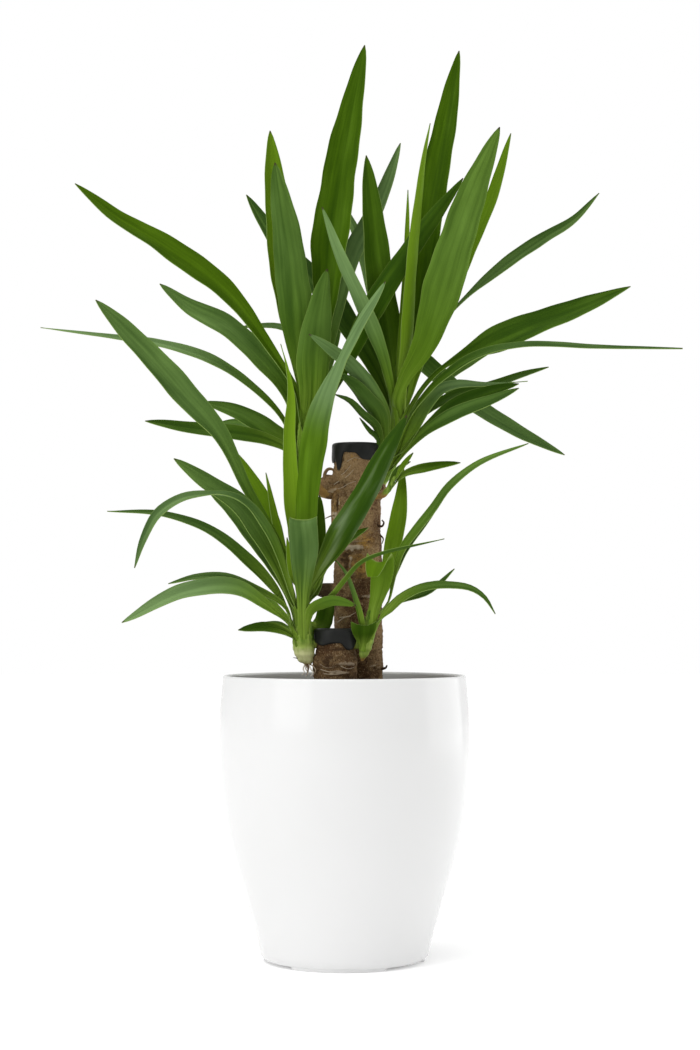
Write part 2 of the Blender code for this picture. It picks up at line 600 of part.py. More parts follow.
def blade_faces_to(path, turns, crown):
    """The direction of the upper face at each row, from how far it is turned away from the viewer."""
    along = unit(np.gradient(path, axis=0))
    eye = np.array([0, -EYE_DISTANCE, EYE_HEIGHT])
    to_eye = eye - path
    to_eye = unit(to_eye - np.sum(to_eye * along, axis=1, keepdims=True) * along)
    inward = np.cross(along, to_eye)
    middle = len(path) // 2
    if np.dot(inward[middle], crown - path[middle]) < 0:
        inward = -inward
    share = np.linspace(0, 1, len(path))
    turn = np.radians(np.interp(share, np.linspace(0, 1, len(turns)), turns))[:, None]
    upper = np.cos(turn) * to_eye + np.sin(turn) * inward
    held = crown * [1, 1, 0] - path * [1, 1, 0]
    held = held - np.sum(held * along, axis=1, keepdims=True) * along
    held = unit(held + 1e-6)
    mix = np.clip(share / ROOT_BLEND, 0, 1)[:, None]
    mixed = unit(mix * upper + (1 - mix) * held)
    opposed = np.sum(upper * held, axis=1, keepdims=True) < OPPOSED
    return along, np.where(opposed, upper, mixed)


def along_shoot(shoot, share):
    """A place on the shoot's middle line, and the height over its crown that its leaves lean towards."""
    line = np.array([tuple(seen(*place[:3])) for place in shoot])
    place = smooth_path(line, SHOOT_PLACES + 1)[round(share * SHOOT_PLACES)]
    return place, line[-1] + [0, 0, LEAN_HEIGHT]


def make_blade(name, shoot, leaf, group):
    """One leaf: a channelled strip bent along its line, given its thickness by Solidify."""
    leaf_name, level, width, turns, places = leaf
    root, crown = along_shoot(shoot, level)
    line = [root] + [tuple(seen(*place)) for place in places]
    length = np.sum(np.linalg.norm(np.diff(np.array(line), axis=0), axis=1))
    rows = max(LEAST_ROWS, round(length / ROW_LENGTH) + 1)
    path = smooth_path(line, rows + 1)
    along, upper = blade_faces_to(path, turns, crown)
    across = unit(np.cross(upper, along))
    upper = np.cross(along, across)
    full = blade_width(np.linspace(0, 1, rows + 1), width, leaf_name in BLUNT)[:, None]
    strip = bmesh.new()
    bmesh.ops.create_grid(strip, x_segments=2, y_segments=rows, size=1)
    for vertex in strip.verts:
        row = round((vertex.co.y + 1) / 2 * rows)
        sideways = vertex.co.x
        rise = CHANNEL * (abs(sideways) - 0.5)
        place = path[row] + full[row] * (0.5 * sideways * across[row] + rise * upper[row])
        vertex.co = Vector(place) * MM
    bmesh.ops.triangulate(strip, faces=strip.faces, quad_method="FIXED")
    mesh = bpy.data.meshes.new(name)
    strip.to_mesh(mesh)
    strip.free()
    thing = mesh_object(name, mesh, group)
    shell = thing.modifiers.new("thickness", "SOLIDIFY")
    shell.thickness = BLADE_THICKNESS * MM
    shell.offset = 0
    return thing


def make_head(name, shoot, leaves, parts, cutters, finish):
    """A shoot and its leaves as one solid, cut clear of the canes and the wax."""
    group = make_collection(f"{name}_leaves")
    for leaf in leaves:
        blade = make_blade(f"{name}_{leaf[0]}", shoot, leaf, group)
        mesh = settled_mesh(blade)
        mesh_object(f"{name}_{leaf[0]}", mesh, group)
    stem = tube(f"{name}_stem", shoot, parts)
    head = mesh_object(name, joined(stem, group), parts, finish)
    cut_away(head, cutters, "MANIFOLD")
    head = mesh_object(name, settled_mesh(head), parts, finish)
    keep_outer_skin(head.data)
    return head


def main():
    clear_scene()
    parts = make_collection("potted_yucca")
    cutters = make_collection("cutters")
    finish = {name: make_finish(name) for name in FINISHES}

    make_cane("tall_cane", TALL_CANE, True, parts, finish["bark"])
    make_cane("short_cane", SHORT_CANE, False, parts, finish["bark"])
    make_wax("tall_cane_wax", TALL_CANE, TALL_WAX, parts, finish["black_wax"])
    make_wax("short_cane_wax", SHORT_CANE, SHORT_WAX, parts, finish["black_wax"])
    clear_shapes = [
        make_cane("around_tall_cane", TALL_CANE, True, cutters, None, CLEARANCE),
        make_cane("around_short_cane", SHORT_CANE, False, cutters, None, CLEARANCE),
        make_wax("around_tall_wax", TALL_CANE, TALL_WAX, cutters, None, CLEARANCE),
        make_wax("around_short_wax", SHORT_CANE, SHORT_WAX, cutters, None, CLEARANCE),
    ]
    for shape in clear_shapes:
        hide_cutter(shape)
    make_pot(parts, cutters, finish["white_gloss"])
    make_soil(parts, clear_shapes[:2], finish["potting_soil"])
    for name, shoot, leaves in HEADS:
        make_head(name, shoot, leaves, parts, clear_shapes, finish["leaf_green"])


main()
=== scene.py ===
"""How the potted yucca looks: fine leaves, bark, wax, soil and a glossy pot on a white floor in soft light.

Lengths are in millimetres until a mesh is made. A place on the plant is written (across, height, depth): where
it shows in the upright plane through the pot's axis when it is seen from the front, and how far behind that
plane it lies along the line of sight.
"""

import math

import bpy
import numpy as np
from mathutils import Euler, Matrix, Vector, noise


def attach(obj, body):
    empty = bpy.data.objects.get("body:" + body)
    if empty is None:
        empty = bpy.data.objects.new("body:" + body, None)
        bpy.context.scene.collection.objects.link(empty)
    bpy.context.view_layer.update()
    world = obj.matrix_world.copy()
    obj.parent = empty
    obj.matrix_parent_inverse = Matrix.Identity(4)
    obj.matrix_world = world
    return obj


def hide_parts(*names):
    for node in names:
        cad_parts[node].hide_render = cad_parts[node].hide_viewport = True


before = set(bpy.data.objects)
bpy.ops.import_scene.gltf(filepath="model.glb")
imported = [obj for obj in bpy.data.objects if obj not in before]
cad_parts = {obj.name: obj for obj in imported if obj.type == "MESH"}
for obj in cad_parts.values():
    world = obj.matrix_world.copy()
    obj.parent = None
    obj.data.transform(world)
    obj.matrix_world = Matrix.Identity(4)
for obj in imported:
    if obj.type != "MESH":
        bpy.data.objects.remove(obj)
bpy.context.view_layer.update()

MM = 0.001
FULL_TURN = 2 * math.pi
ON_AXIS = 0.05  # radius of the small ring that closes a turned piece at its middle
AXIS_WELD = 0.2  # vertices nearer than this are made one, so that the ring closes
CURVE_DETAIL = 24  # places per point while a smooth line is worked out

# Front view
EYE_DISTANCE = 1769  # from the pot's axis to the eye
EYE_HEIGHT = 283
AIM = (4.4, 346)  # across and height of the place in the middle of the picture
LENS = 75.8
WORLD_LIGHT, WORLD_GLOSS = 0.5, 0.9

# Pot
POT_STEPS = 160
POT_HEIGHT = 226
POT_WALL = 3.2
POT_FLOOR = 8
LIP_RADIUS = 1.8
LIP_STEPS = 10
FOOT_RADIUS = 64
FOOT_HEIGHT = 2.5
FOOT_BEVEL = 0.5
FOOT_GAP_FROM = 57  # radius
FOOT_GAP_TURN = 25  # degrees to each side of its middle
FOOT_GAP_MIDDLES = (56, 176, 296)  # degrees round from the front, to the right
# The outer side from under the lip down to the foot, as (radius, height)
POT_SIDE = [(97.2, 222), (100.4, 184), (99.2, 142), (93, 98), (78, 46), (70.2, 20), (66.5, 5)]
POT_SIDE_ROWS = 56

# Soil
SOIL_STEPS = 96
SOIL_LEVEL = 203
SOIL_DOME = 5
SOIL_GAP = 0.3
SOIL_RING = 2.5  # width of a ring of faces
SOIL_ROUGHNESS = 1.6
SOIL_MOST = 2.4  # how high its lumps reach at most
CRUMBS = 260
CRUMB_SEED = 900
CRUMB_SIZES = (1.2, 3.6)
CRUMB_SPREAD = 0.96  # of the soil's radius
CRUMB_CLEAR = 4  # of the canes
CRUMB_RISE = 0.6  # of its middle over the soil

# Canes: the foot and the top of each one's middle line, as (across, depth)
CANE_STEPS = 64
CANE_BOTTOM = 118
CANE_GRAIN = 1.0  # side of a cell while a cane and its knots are made one skin
TALL_CANE = {"radius": 19, "foot": (13, 14), "top": (9.5, 14), "height": 410, "seed": 3}
SHORT_CANE = {"radius": 16.4, "foot": (-6, -20), "top": (-7, -20), "height": 261, "seed": 8}
# Waves in the bark: their lengths round and up the cane, their own seed, and their height
BARK_WAVES = [((16, 16, 14), 0, 1.0), ((2.2, 2.2, 11), 5, 0.3), ((1.5, 1.5, 1.3), 9, 0.35)]
NECK = 1  # how much narrower a cane is under its wax
NECK_HEIGHT = 20
FIRST_RING = 18  # below the top
RING_GAPS = (9, 17)  # least and most between two ring scars
BARK_REACH = (-2.4, 2.0)  # how far the bark lies inside and outside the plain cane at most
KNOTS = [  # growth knots on the tall cane: place, and half sizes along X, Y and Z
    ((-12.5, 376.5, 14), (8.5, 8, 9)),
    ((27, 373, 11), (6.5, 10, 8)),
]
STUB_HEIGHT = 293
STUB = [(2, 293, 8, 6), (-8, 293, 7, 6), (-17, 293.5, 6.4, 5.6), (-21.5, 294, 6, 4.6)]

# Torn and cracked places on a cane: across, height, half width, half height, lift, pale or dark (partly own tone,
# partly painted highlight on ridges and painted shade in hollows), and golden
TALL_SCARS = [
    (7, 328, 9, 3, 1.3, 1.1, 0),
    (17, 333, 6, 6, 0.8, 0.1, 1),
    (1, 317, 4.5, 7, -1.6, -1.0, 0.3),
    (4.5, 317, 1.6, 5, 1.0, 1.0, 0),
    (14, 313, 9, 9, 0.4, -0.2, 0.9),
    (13, 298, 9, 7, -0.7, -0.35, 0),
    (19, 289, 7, 1.6, 1.3, 0.9, 0),
    (5, 284, 10, 2, -0.8, -0.6, 0),
    (-8, 354, 5, 17, 2.6, 0.25, 0.5),
    (-5.2, 363, 0.9, 6, -1.8, -1.8, 0),
    (-3.8, 363, 0.8, 5, 0.3, 0.9, 0.6),
    (-6, 354, 2, 3, 0.6, 1.0, 0.5),
    (7.6, 400, 2.5, 3, 0, -0.2, 0.9),
    (-6, 380, 8, 1.2, -0.9, -0.7, 0),
    (0, 377, 1.5, 2, -0.8, -0.9, 0),
    (6, 372, 1.2, 2, -0.6, -0.8, 0),
    (-10, 375, 4, 2.5, 0.5, 0.7, 0.4),
    (24, 258, 3, 6, 0.4, 0.2, 0),
    (26, 233, 6, 2, 0.8, 0.5, 0),
]
SHORT_SCARS = [
    (-24, 236, 4, 12, 2.6, -0.2, 0),
    (-8, 247, 13, 1.6, -0.8, -0.6, 0),
    (-14, 236, 6, 6, -0.6, -0.7, 0),
    (0, 236, 11, 2, 0.9, 0.6, 0),
    (-6, 229, 12, 1.6, 1.0, 0.9, 0),
    (4, 225, 8, 2, -0.8, -0.6, 0),
]

# Loose bark and thin roots: middle line, thickness, and from dark to pale
CURLS = [
    ([(-13.5, 378, 9), (-15.6, 382, 9.5), (-15.6, 387.5, 10), (-13, 390.8, 10), (-9.5, 390.5, 9.5),
      (-7.5, 387.5, 9.5)], 1.9, -0.3),
    ([(-15, 374, 12), (-19, 371, 10), (-21, 372, 9)], 1.2, 0.2),
    ([(-8, 354, 4), (-12, 352.8, 2), (-15.5, 351.2, 1)], 0.7, 0.4),
    ([(-9, 378, 8.5), (-4, 381.5, 1.2), (2, 385, -3.6), (7, 390, -5.3)], 0.4, 0.95),
    ([(-8, 374, 6.5), (-2, 376, -0.9), (4, 379.5, -4.5), (9, 381, -5.6)], 0.35, 0.95),
    ([(-5, 385, 2.6), (0, 388, -2.7), (5, 394, -5)], 0.3, 1.0),
    ([(2, 397, -2.8), (8, 400, -4.2), (13, 399, -4.4)], 0.3, 0.8),
    ([(26, 346, 6), (30, 345, 4), (31.5, 348, 4), (29.8, 350, 4)], 1.1, -1.3),
    ([(28.5, 338, 6), (31, 335, 5), (30, 331, 5)], 0.8, -0.9),
    ([(30, 231, 8), (33, 232, 6), (34, 234, 6)], 1.2, -0.6),
    ([(-6, 268, -6), (0, 272, -8), (5, 273, -8)], 0.5, 1.2),
    ([(-4, 272, -6), (3, 273, -8), (9, 276, -7)], 0.4, 1.2),
    ([(-35, 239, -24), (-38, 239.5, -26), (-41, 240, -26)], 0.5, -0.8),
]
ROOTLETS = [
    ([(-30, 235, -25), (-29, 231, -29), (-30, 226, -30)], 1.1, 0.3),
    ([(-29, 235, -24), (-27, 231, -29), (-25, 228, -31), (-27, 225, -31)], 0.8, 2),
    ([(-31, 235, -24), (-33, 231, -27), (-32, 228, -28), (-34, 226, -28)], 0.7, 2),
    ([(-30, 234, -24), (-31, 231, -28), (-29, 228, -30), (-31, 225, -30)], 0.7, 1.7),
    ([(-28, 235, -22), (-25, 233, -28), (-23, 230, -30), (-24, 227, -30)], 0.6, 1.2),
    ([(-19, 230.5, -32), (-12, 228.6, -36.4), (-5, 229.4, -37.6), (3, 227.6, -35.4)], 0.38, 0.9),
    ([(-16, 227, -34), (-8, 226.4, -37.5), (1, 227.6, -36.4)], 0.45, 0.7),
    ([(-3, 233, -37.4), (3, 231, -35), (8, 232.4, -30.6)], 0.35, 0.8),
    ([(-20, 235, -30.5), (-14, 231.8, -35.4), (-8, 232.8, -37.4)], 0.4, 0.5),
]

# Wax
WAX_STEPS = 96
WAX_SIDE = 1.5
WAX_TOP = 2.4
WAX_GAP = 0.3
# Drips: degrees round from the front to the right, how far they hang, and their spread in degrees
TALL_WAX = {
    "skirt": 6,
    "drips": [(-47, 14.5, 9), (-80, 8, 28), (27, 6, 24), (95, 4, 25), (150, 10, 14), (205, 5, 30)],
}
SHORT_WAX = {"skirt": 9, "drips": [(42, 5.5, 22), (-40, 2, 22), (110, 4, 25), (180, 5, 30)]}

# Leaves
BLADE_THICKNESS = 0.5
BLADE_COLUMNS = 12
BLADE_ROW = 5  # length of a row of faces
FOLD_ROW = 1.2  # the same on a leaf that bends sharply back
FEWEST_ROWS = 12
BLADE_TIP = 0.6
WOBBLES = [(68, 0.035), (29, 0.02)]  # length and share of the width of the waves in a blade's outline
WAVE_LENGTH = 250  # of the slow waves of a blade's two edges, up and down
WAVE_SIZE = 0.035  # of the width
EDGE_LIFT = 0.03  # of the width
PLEATS = 5
PLEAT_SIZE = 0.004  # of the width
ROOT_BLEND = 0.25  # of the length, over which a blade turns from its hold on the shoot
OPPOSED = -0.2  # a blade whose hold points away from its upper face more than this doesn't turn
LEAN_HEIGHT = 200
SHOOT_PLACES = 20
SHOOT_STEPS, SHOOT_ROWS = 32, 60
SHOOT_FLUTES = 7
SHEATH_DROP = 2  # shoot places below its level where a leaf's sheath begins
SHEATH_WIDTH = 1.3  # of the shoot's radius
SHEATH_MOST = 0.6  # of the leaf's width
SHEATH_IN, SHEATH_OUT = 0.85, 1.02  # of the shoot's radius, where a sheath begins and where it lets go
SHEATH_END = 0.1  # of the length, where the sheath has narrowed to the blade's neck
CUP = [(0, 2.2), (0.1, 1.8), (0.3, 1.1), (0.8, 0.75), (1, 0.9)]  # bend across a blade, by share of its length
PLAIN_SHAPE = (0.3, 0.04, 0.55, 0, 4, 0.7)
BEND_SPREAD = 9  # below the crest of a folded leaf, where it is pressed wide
CREASE = 0.45  # half width of the pale line along a folded leaf's crest

# Colours
LEAF_DARK, LEAF_LIGHT = (0.018, 0.050, 0.001), (0.108, 0.215, 0.006)
# grey-blue of the leaves' bloom, also used for painted sheen
BLOOM_AND_SHEEN_DARK, BLOOM_AND_SHEEN_LIGHT = (0.055, 0.105, 0.035), (0.210, 0.330, 0.130)
YOUNG_DARK, YOUNG_LIGHT = (0.11, 0.215, 0.008), (0.22, 0.36, 0.020)
FOOT_DARK, FOOT_LIGHT = (0.12, 0.24, 0.010), (0.36, 0.50, 0.085)
MARGIN = (0.26, 0.34, 0.09)
DRY_TIP = (0.045, 0.035, 0.018)

# A shoot's middle line as (across, height, depth, radius), from inside the cane to its top
UPPER_LEFT_SHOOT = [
    (-4, 371, 14, 5),
    (-17, 374, 13, 6),
    (-27, 383, 12, 7),
    (-29.5, 400, 11, 7.5),
    (-30, 420, 9, 7.5),
    (-28, 448, 8, 5),
]
UPPER_RIGHT_SHOOT = [
    (20, 370, 17, 5),
    (30, 384, 19, 6),
    (37, 400, 18, 6.5),
    (43, 420, 16, 6.5),
    (46, 448, 14, 4.5),
]
LOWER_LEFT_SHOOT = [
    (-30, 233, -23, 1.4),
    (-29.8, 236, -23, 4.4),
    (-31, 241, -23, 7.2),
    (-32.6, 249, -23, 8.6),
    (-33.4, 258, -24, 8.2),
    (-33.6, 272, -24, 6.6),
    (-32.5, 300, -25, 3.5),
]
LOWER_RIGHT_SHOOT = [
    (14, 237.5, -25, 1),
    (15, 242, -25, 3.4),
    (17, 250, -25, 5),
    (19, 259, -25, 5),
    (21, 270, -25, 4.2),
    (25, 290, -25, 2.5),
]
SIDE_SHOOT = [(24, 368, 4, 2.2), (31, 370, 1, 2.4), (36, 376, -3, 2.1), (41, 385, -6, 1.3)]
# Short stems that hold a shoot to its cane, hidden between the two
LOWER_LEFT_ARM = [(-16, 251, -20, 3.5), (-30, 252, -23, 4)]
LOWER_RIGHT_ARM = [(4, 250, -22, 3.5), (16, 251, -24, 4)]


class Leaf:
    """One leaf.

    level: how far up the shoot it grows
    turns: how far its upper face is turned away from the viewer at even steps from base to tip, in degrees
    line: its middle line from the shoot to the tip
    look: from 0 dark to 1 light, from 0 green to 1 grey-blue, and, if not 0, how young and yellow-green; the light
    and the grey-blue are partly the leaf's own tone and partly painted sheen and painted shade
    shape: width of its neck, shares of the length where the neck ends and where the blade is full, width of its
    end, and two powers for its tip; those left out are plain
    gleam: how strongly it shines
    green_to: the share of its length up to which a grey-blue leaf is still green
    foot: how yellow-green its foot is, if not as on the rest of the head
    kind: plain, folded sharply back on itself, or blunt
    """

    def __init__(
        self, name, level, width, turns, line, look=(0.25, 0.25), shape=(), gleam=0.04, green_to=None, foot=None,
        kind="plain",
    ):
        self.name, self.level, self.width, self.turns, self.line = name, level, width, np.atleast_1d(turns), line
        self.light, self.bloom, self.youth = (*look, 0)[:3]
        self.shape = (*shape, *PLAIN_SHAPE[len(shape):])
        self.gleam, self.green_to, self.foot = gleam, green_to, foot
        self.folded, self.blunt = kind == "folded", kind == "blunt"


UPPER_LEFT_LEAVES = [
    Leaf("outer_left", 0.55, 25, (30, 35, 35, 40),
        [(-38, 452, -4), (-48, 470, -9), (-61.5, 490.5, -13), (-82, 519.4, -19), (-103, 541, -25),
        (-148.6, 573.4, -36), (-183, 594, -44), (-217, 621, -50)], (0.25, 0, 0.05), (0.2, 0.18, 0.68, 0, 4, 0.75)),
    Leaf("mid_left", 0.5, 22.5, (40, 30, 25),
        [(-44, 449, 12), (-68, 481.5, 20), (-96, 506.8, 30), (-124, 521.3, 38), (-148.5, 540, 45)], (0.3, 0.5)),
    Leaf("long_left", 0.4, 15, (50, 45, 50),
        [(-49.5, 431, 18), (-76, 458.6, 30), (-110, 480, 45), (-150, 492.4, 54), (-178, 496.2, 60),
        (-244, 504.6, 70)], (0.5, 1), (0.4, 0.15, 0.55, 0, 2, 1)),
    Leaf("low_left_back", 0.4, 18, (50, 35, 35),
        [(-44, 412, 12), (-60, 422, 14), (-84, 436, 22), (-113, 445, 30)], (0.2, 0.25)),
    Leaf("low_left", 0.37, 15, (45, 35, 35),
        [(-44, 405, 4), (-64, 415, 0), (-92, 420.5, -4), (-124, 424, -8), (-160, 429.5, -12)], (0.05, 0.2)),
    Leaf("broad_upright", 0.8, 29, (160, 170, 175),
        [(-33, 458, -2), (-38, 502, -8), (-44.4, 562, -12), (-56, 638, -16)], (0.2, 0.3), (0.22, 0.08, 0.5)),
    Leaf("young_upright", 0.95, 25, (20, 10, 10),
        [(-34, 446, 12), (-45, 526, 12), (-53, 590, 10), (-60, 664, 8)], (0.5, 0, 0.3), (0.25, 0.08, 0.5)),
    Leaf("front_upright", 0.85, 29, (170, 170, 160),
        [(-26, 446, -14), (-24, 486, -20), (-20, 520, -22), (-14, 552, -22)], (0.3, 0.25), (0.5, 0.04, 0.5, 0, 3)),
    Leaf("tallest", 0.9, 32.3, (10, 15, 20),
        [(-20, 446, 3), (-15.4, 518, 1), (-10.7, 582, -1), (1.2, 658, -6), (16.2, 733.6, -12)], (0.14, 0),
        (0.3, 0.2, 0.5, 0, 3.8, 0.72)),
    Leaf("blue_right", 0.8, 20, 30,
        [(-18, 462, 14), (-8, 518, 17), (7, 566, 18), (29.5, 609, 18), (45, 654, 16)], (0.5, 0.85)),
    Leaf("dark_right", 0.6, 21, (200, 205, 205),
        [(-16, 440, 0), (1, 478, -6), (21, 518, -11), (53, 569, -16), (95.5, 625.5, -22)], (-0.12, 0), (0.2, 0.08)),
    Leaf("bent_back", 0.6, 9, 40, [(-30, 470, 26), (-36, 494, 44), (-52, 505.5, 58), (-86, 505, 66)], (0.2, 0.7)),
    Leaf("rear_upright", 0.7, 20, (10, 0, 0), [(-32, 456, 34), (-38, 498, 72), (-43, 540, 108), (-48, 572, 150)]),
    Leaf("rear_left", 0.5, 11, 20,
        [(-40, 456, 34), (-64, 494, 84), (-98, 536, 130), (-138, 566, 170)], shape=(0.3, 0.2, 0.7)),
    Leaf("rear_low_left", 0.38, 14, (30, 40, 40),
        [(-40, 412, 36), (-60, 420, 78), (-84, 427, 124), (-104, 427, 165)]),
    Leaf("rear_centre", 0.75, 22, 0, [(-22, 452, 36), (-12, 506, 74), (-10, 560, 100), (-6, 606, 124)]),
    Leaf("rear_right", 0.34, 11, (0, 20, 40), [(-23, 375, 34), (-2, 370, 74), (10, 367, 112), (20, 356, 150)]),
]
UPPER_RIGHT_LEAVES = [
    Leaf("dark_upright", 0.7, 24, (10, 10, 15),
        [(40, 446, 12), (34, 502, 6), (26.5, 558, 0), (22.5, 598, -3), (17.5, 644, -6)], (0.15, 0.05),
        (0.5, 0.04, 0.5)),
    Leaf("blue_left", 0.75, 13, (170, 165, 160),
        [(39, 446, 2), (31, 481, -12), (14, 524, -28), (-4, 564, -38), (-18, 602, -44)], (0.45, 0.85)),
    Leaf("folded_upright", 0.9, 15.5, (140, 130, 130),
        [(46, 454, 2), (50.6, 502, -12), (56, 570, -27), (62.8, 634, -34), (69, 670, -38)], (0.8, 0, 0.6),
        (0.5, 0.04, 0.4, 0, 2.5, 0.8), foot=1.1),
    Leaf("tall_right", 0.9, 27, (15, 20, 20),
        [(52, 486, 14), (60, 542, 14), (69.6, 606, 12), (84.5, 686, 8), (92.4, 729, 6)], (0.15, 0), (0.5, 0.04, 0.5)),
    Leaf("far_left", 0.6, 22, (30, 20, 15),
        [(34.5, 448, 30), (2, 508.5, 48), (-21.5, 540, 54), (-53, 573, 60), (-79, 612, 62)], (0, 0.4), (0.28, 0.06)),
    Leaf("hidden_left", 0.65, 16, 30, [(36, 470, 36), (23, 534, 46), (11, 577, 52), (-2, 606, 56)], (0.5, 0.7)),
    Leaf("broad_right", 0.85, 32, (175, 170, 165),
        [(42, 446, -4), (48.4, 464, -12), (64, 491, -22), (88.4, 568, -46), (104.2, 616, -60), (125, 667, -74)],
        (0.4, 0.22, 0.05), (0.25, 0.1, 0.5, 0, 4, 0.75)),
    Leaf("edge_right", 0.75, 15, 25,
        [(56, 462, 0), (74, 510, -8), (99, 566, -16), (120, 614, -24), (134, 662, -30)], (0.5, 0, 0.3)),
    Leaf("thin_young", 1.0, 8, 30,
        [(45, 478, 4), (49, 534, 1), (50.5, 582, -2), (51, 616, -3)], (0.6, 0, 0.4), (0.8, 0.04, 0.3, 0, 3, 0.8)),
    Leaf("long_right", 0.6, 17, (35, 65, 70, 30, 30),
        [(54, 470, 24), (79.5, 509, 32), (112.6, 542.2, 42), (160, 577, 56), (184.5, 592, 62), (205, 613.5, 66)],
        (0.2, 0.5), (0.2, 0.4, 0.62, 0, 3)),
    Leaf("wide_right", 0.5, 26.5, (35, 25, 30, 35),
        [(54, 442, 4), (75, 469.3, -3), (101, 485, -9), (140, 502.6, -20), (182, 518, -32), (230, 538, -44)],
        (0.05, 0.1), (0.15, 0.34, 0.58, 0, 4, 0.8)),
    Leaf("farthest_right", 0.45, 11, (60, 55, 60, 65),
        [(57, 438.5, 0), (68, 453.5, -7), (78, 463.6, -13), (105, 482, -24), (139, 490.6, -38), (200, 489.2, -58),
        (271.6, 487.8, -74)], (0.1, 0.6), (0.4, 0.08, 0.4, 0.1, 2.5, 0.85)),
    Leaf("short_right", 0.4, 11, 40,
        [(60, 432, 20), (88, 450, 28), (116, 457.5, 34), (140, 466, 38), (164, 473, 40)], (0, 0.2)),
    Leaf("blue_low_right", 0.4, 22, (30, 30, 40),
        [(54, 424, 4), (65, 443, 0), (77, 455, -1), (90, 459, -2), (112, 459, -4), (147, 461.5, -4)], (0.5, 1),
        (0.35, 0.04, 0.35, 0, 1.5, 1.5)),
    Leaf("dark_low_right", 0.3, 16, (30, 30, 35),
        [(51, 411, 4), (72, 429.5, -8), (92, 444, -14), (115, 453, -18), (140, 459.5, -22)], (-0.25, 0.05),
        (0.2, 0.25, 0.7)),
    Leaf("low_right", 0.25, 15.5, 40,
        [(52, 408, 0), (69, 424, -16), (92, 436.5, -24), (117, 446, -30), (140, 456, -34)], (0.1, 0.4),
        (0.2, 0.2, 0.65)),
    Leaf("drooping_right", 0.55, 19, (20, 35, 40),
        [(41, 440, 22), (47, 465, 28), (56.5, 479, 32), (72.5, 468.5, 36), (88, 454, 42), (106, 441.6, 46),
        (141, 420, 54), (176.6, 402.2, 62)], (0.2, 0.6), (0.3, 0.04, 0.4)),
    Leaf("curled_left", 0.4, 16.5, 150,
        [(32, 432, 2), (20.5, 453, -14), (5, 474.2, -30), (-11, 487.2, -40), (-28.5, 499.5, -44)], (0.25, 0.75)),
    Leaf("short_left", 0.3, 17, 150, [(28, 431, 0), (17, 448, -16), (6.5, 460, -28), (-5, 468.5, -34)], (0, 0.3)),
    Leaf("low_left", 0.2, 8, 150, [(27, 422, 0), (14, 436, -16), (4, 446, -24), (-8, 451, -30)], (-0.15, 0.3)),
    Leaf("thin_left", 0.12, 6, 150, [(28, 414, 4), (20, 422, -4), (12, 432, -10)], (-0.15, 0.2)),
    Leaf("crown_tip", 0.95, 7, 30, [(45, 446, -2), (43, 465, -8)], (0.5, 0, 0.7)),
    Leaf("rear_right", 0.7, 18, (20, 10, 10), [(46, 452, 38), (63, 502, 78), (80, 544, 114), (95, 588, 150)]),
    Leaf("rear_low_right", 0.4, 12, 30,
        [(58, 440, 44), (81, 464, 70), (106, 482, 100), (130, 496, 136), (154, 508, 172)]),
    Leaf("rear_upright", 0.8, 22, (10, 0, 0), [(50, 468, 42), (56, 520, 70), (64, 572, 92), (72, 622, 108)]),
    Leaf("rear_level", 0.3, 10, (30, 35, 40), [(56, 414, 46), (75, 430, 92), (96, 444, 134), (116, 452, 172)]),
    Leaf("rear_centre", 0.6, 20, 0, [(37, 450, 46), (30, 492, 78), (27, 540, 100), (24, 588, 118)]),
    Leaf("rear_low", 0.2, 18, (0, 20, 40), [(36, 404, 44), (31, 396, 80), (25, 374, 112), (18, 342, 136)]),
]
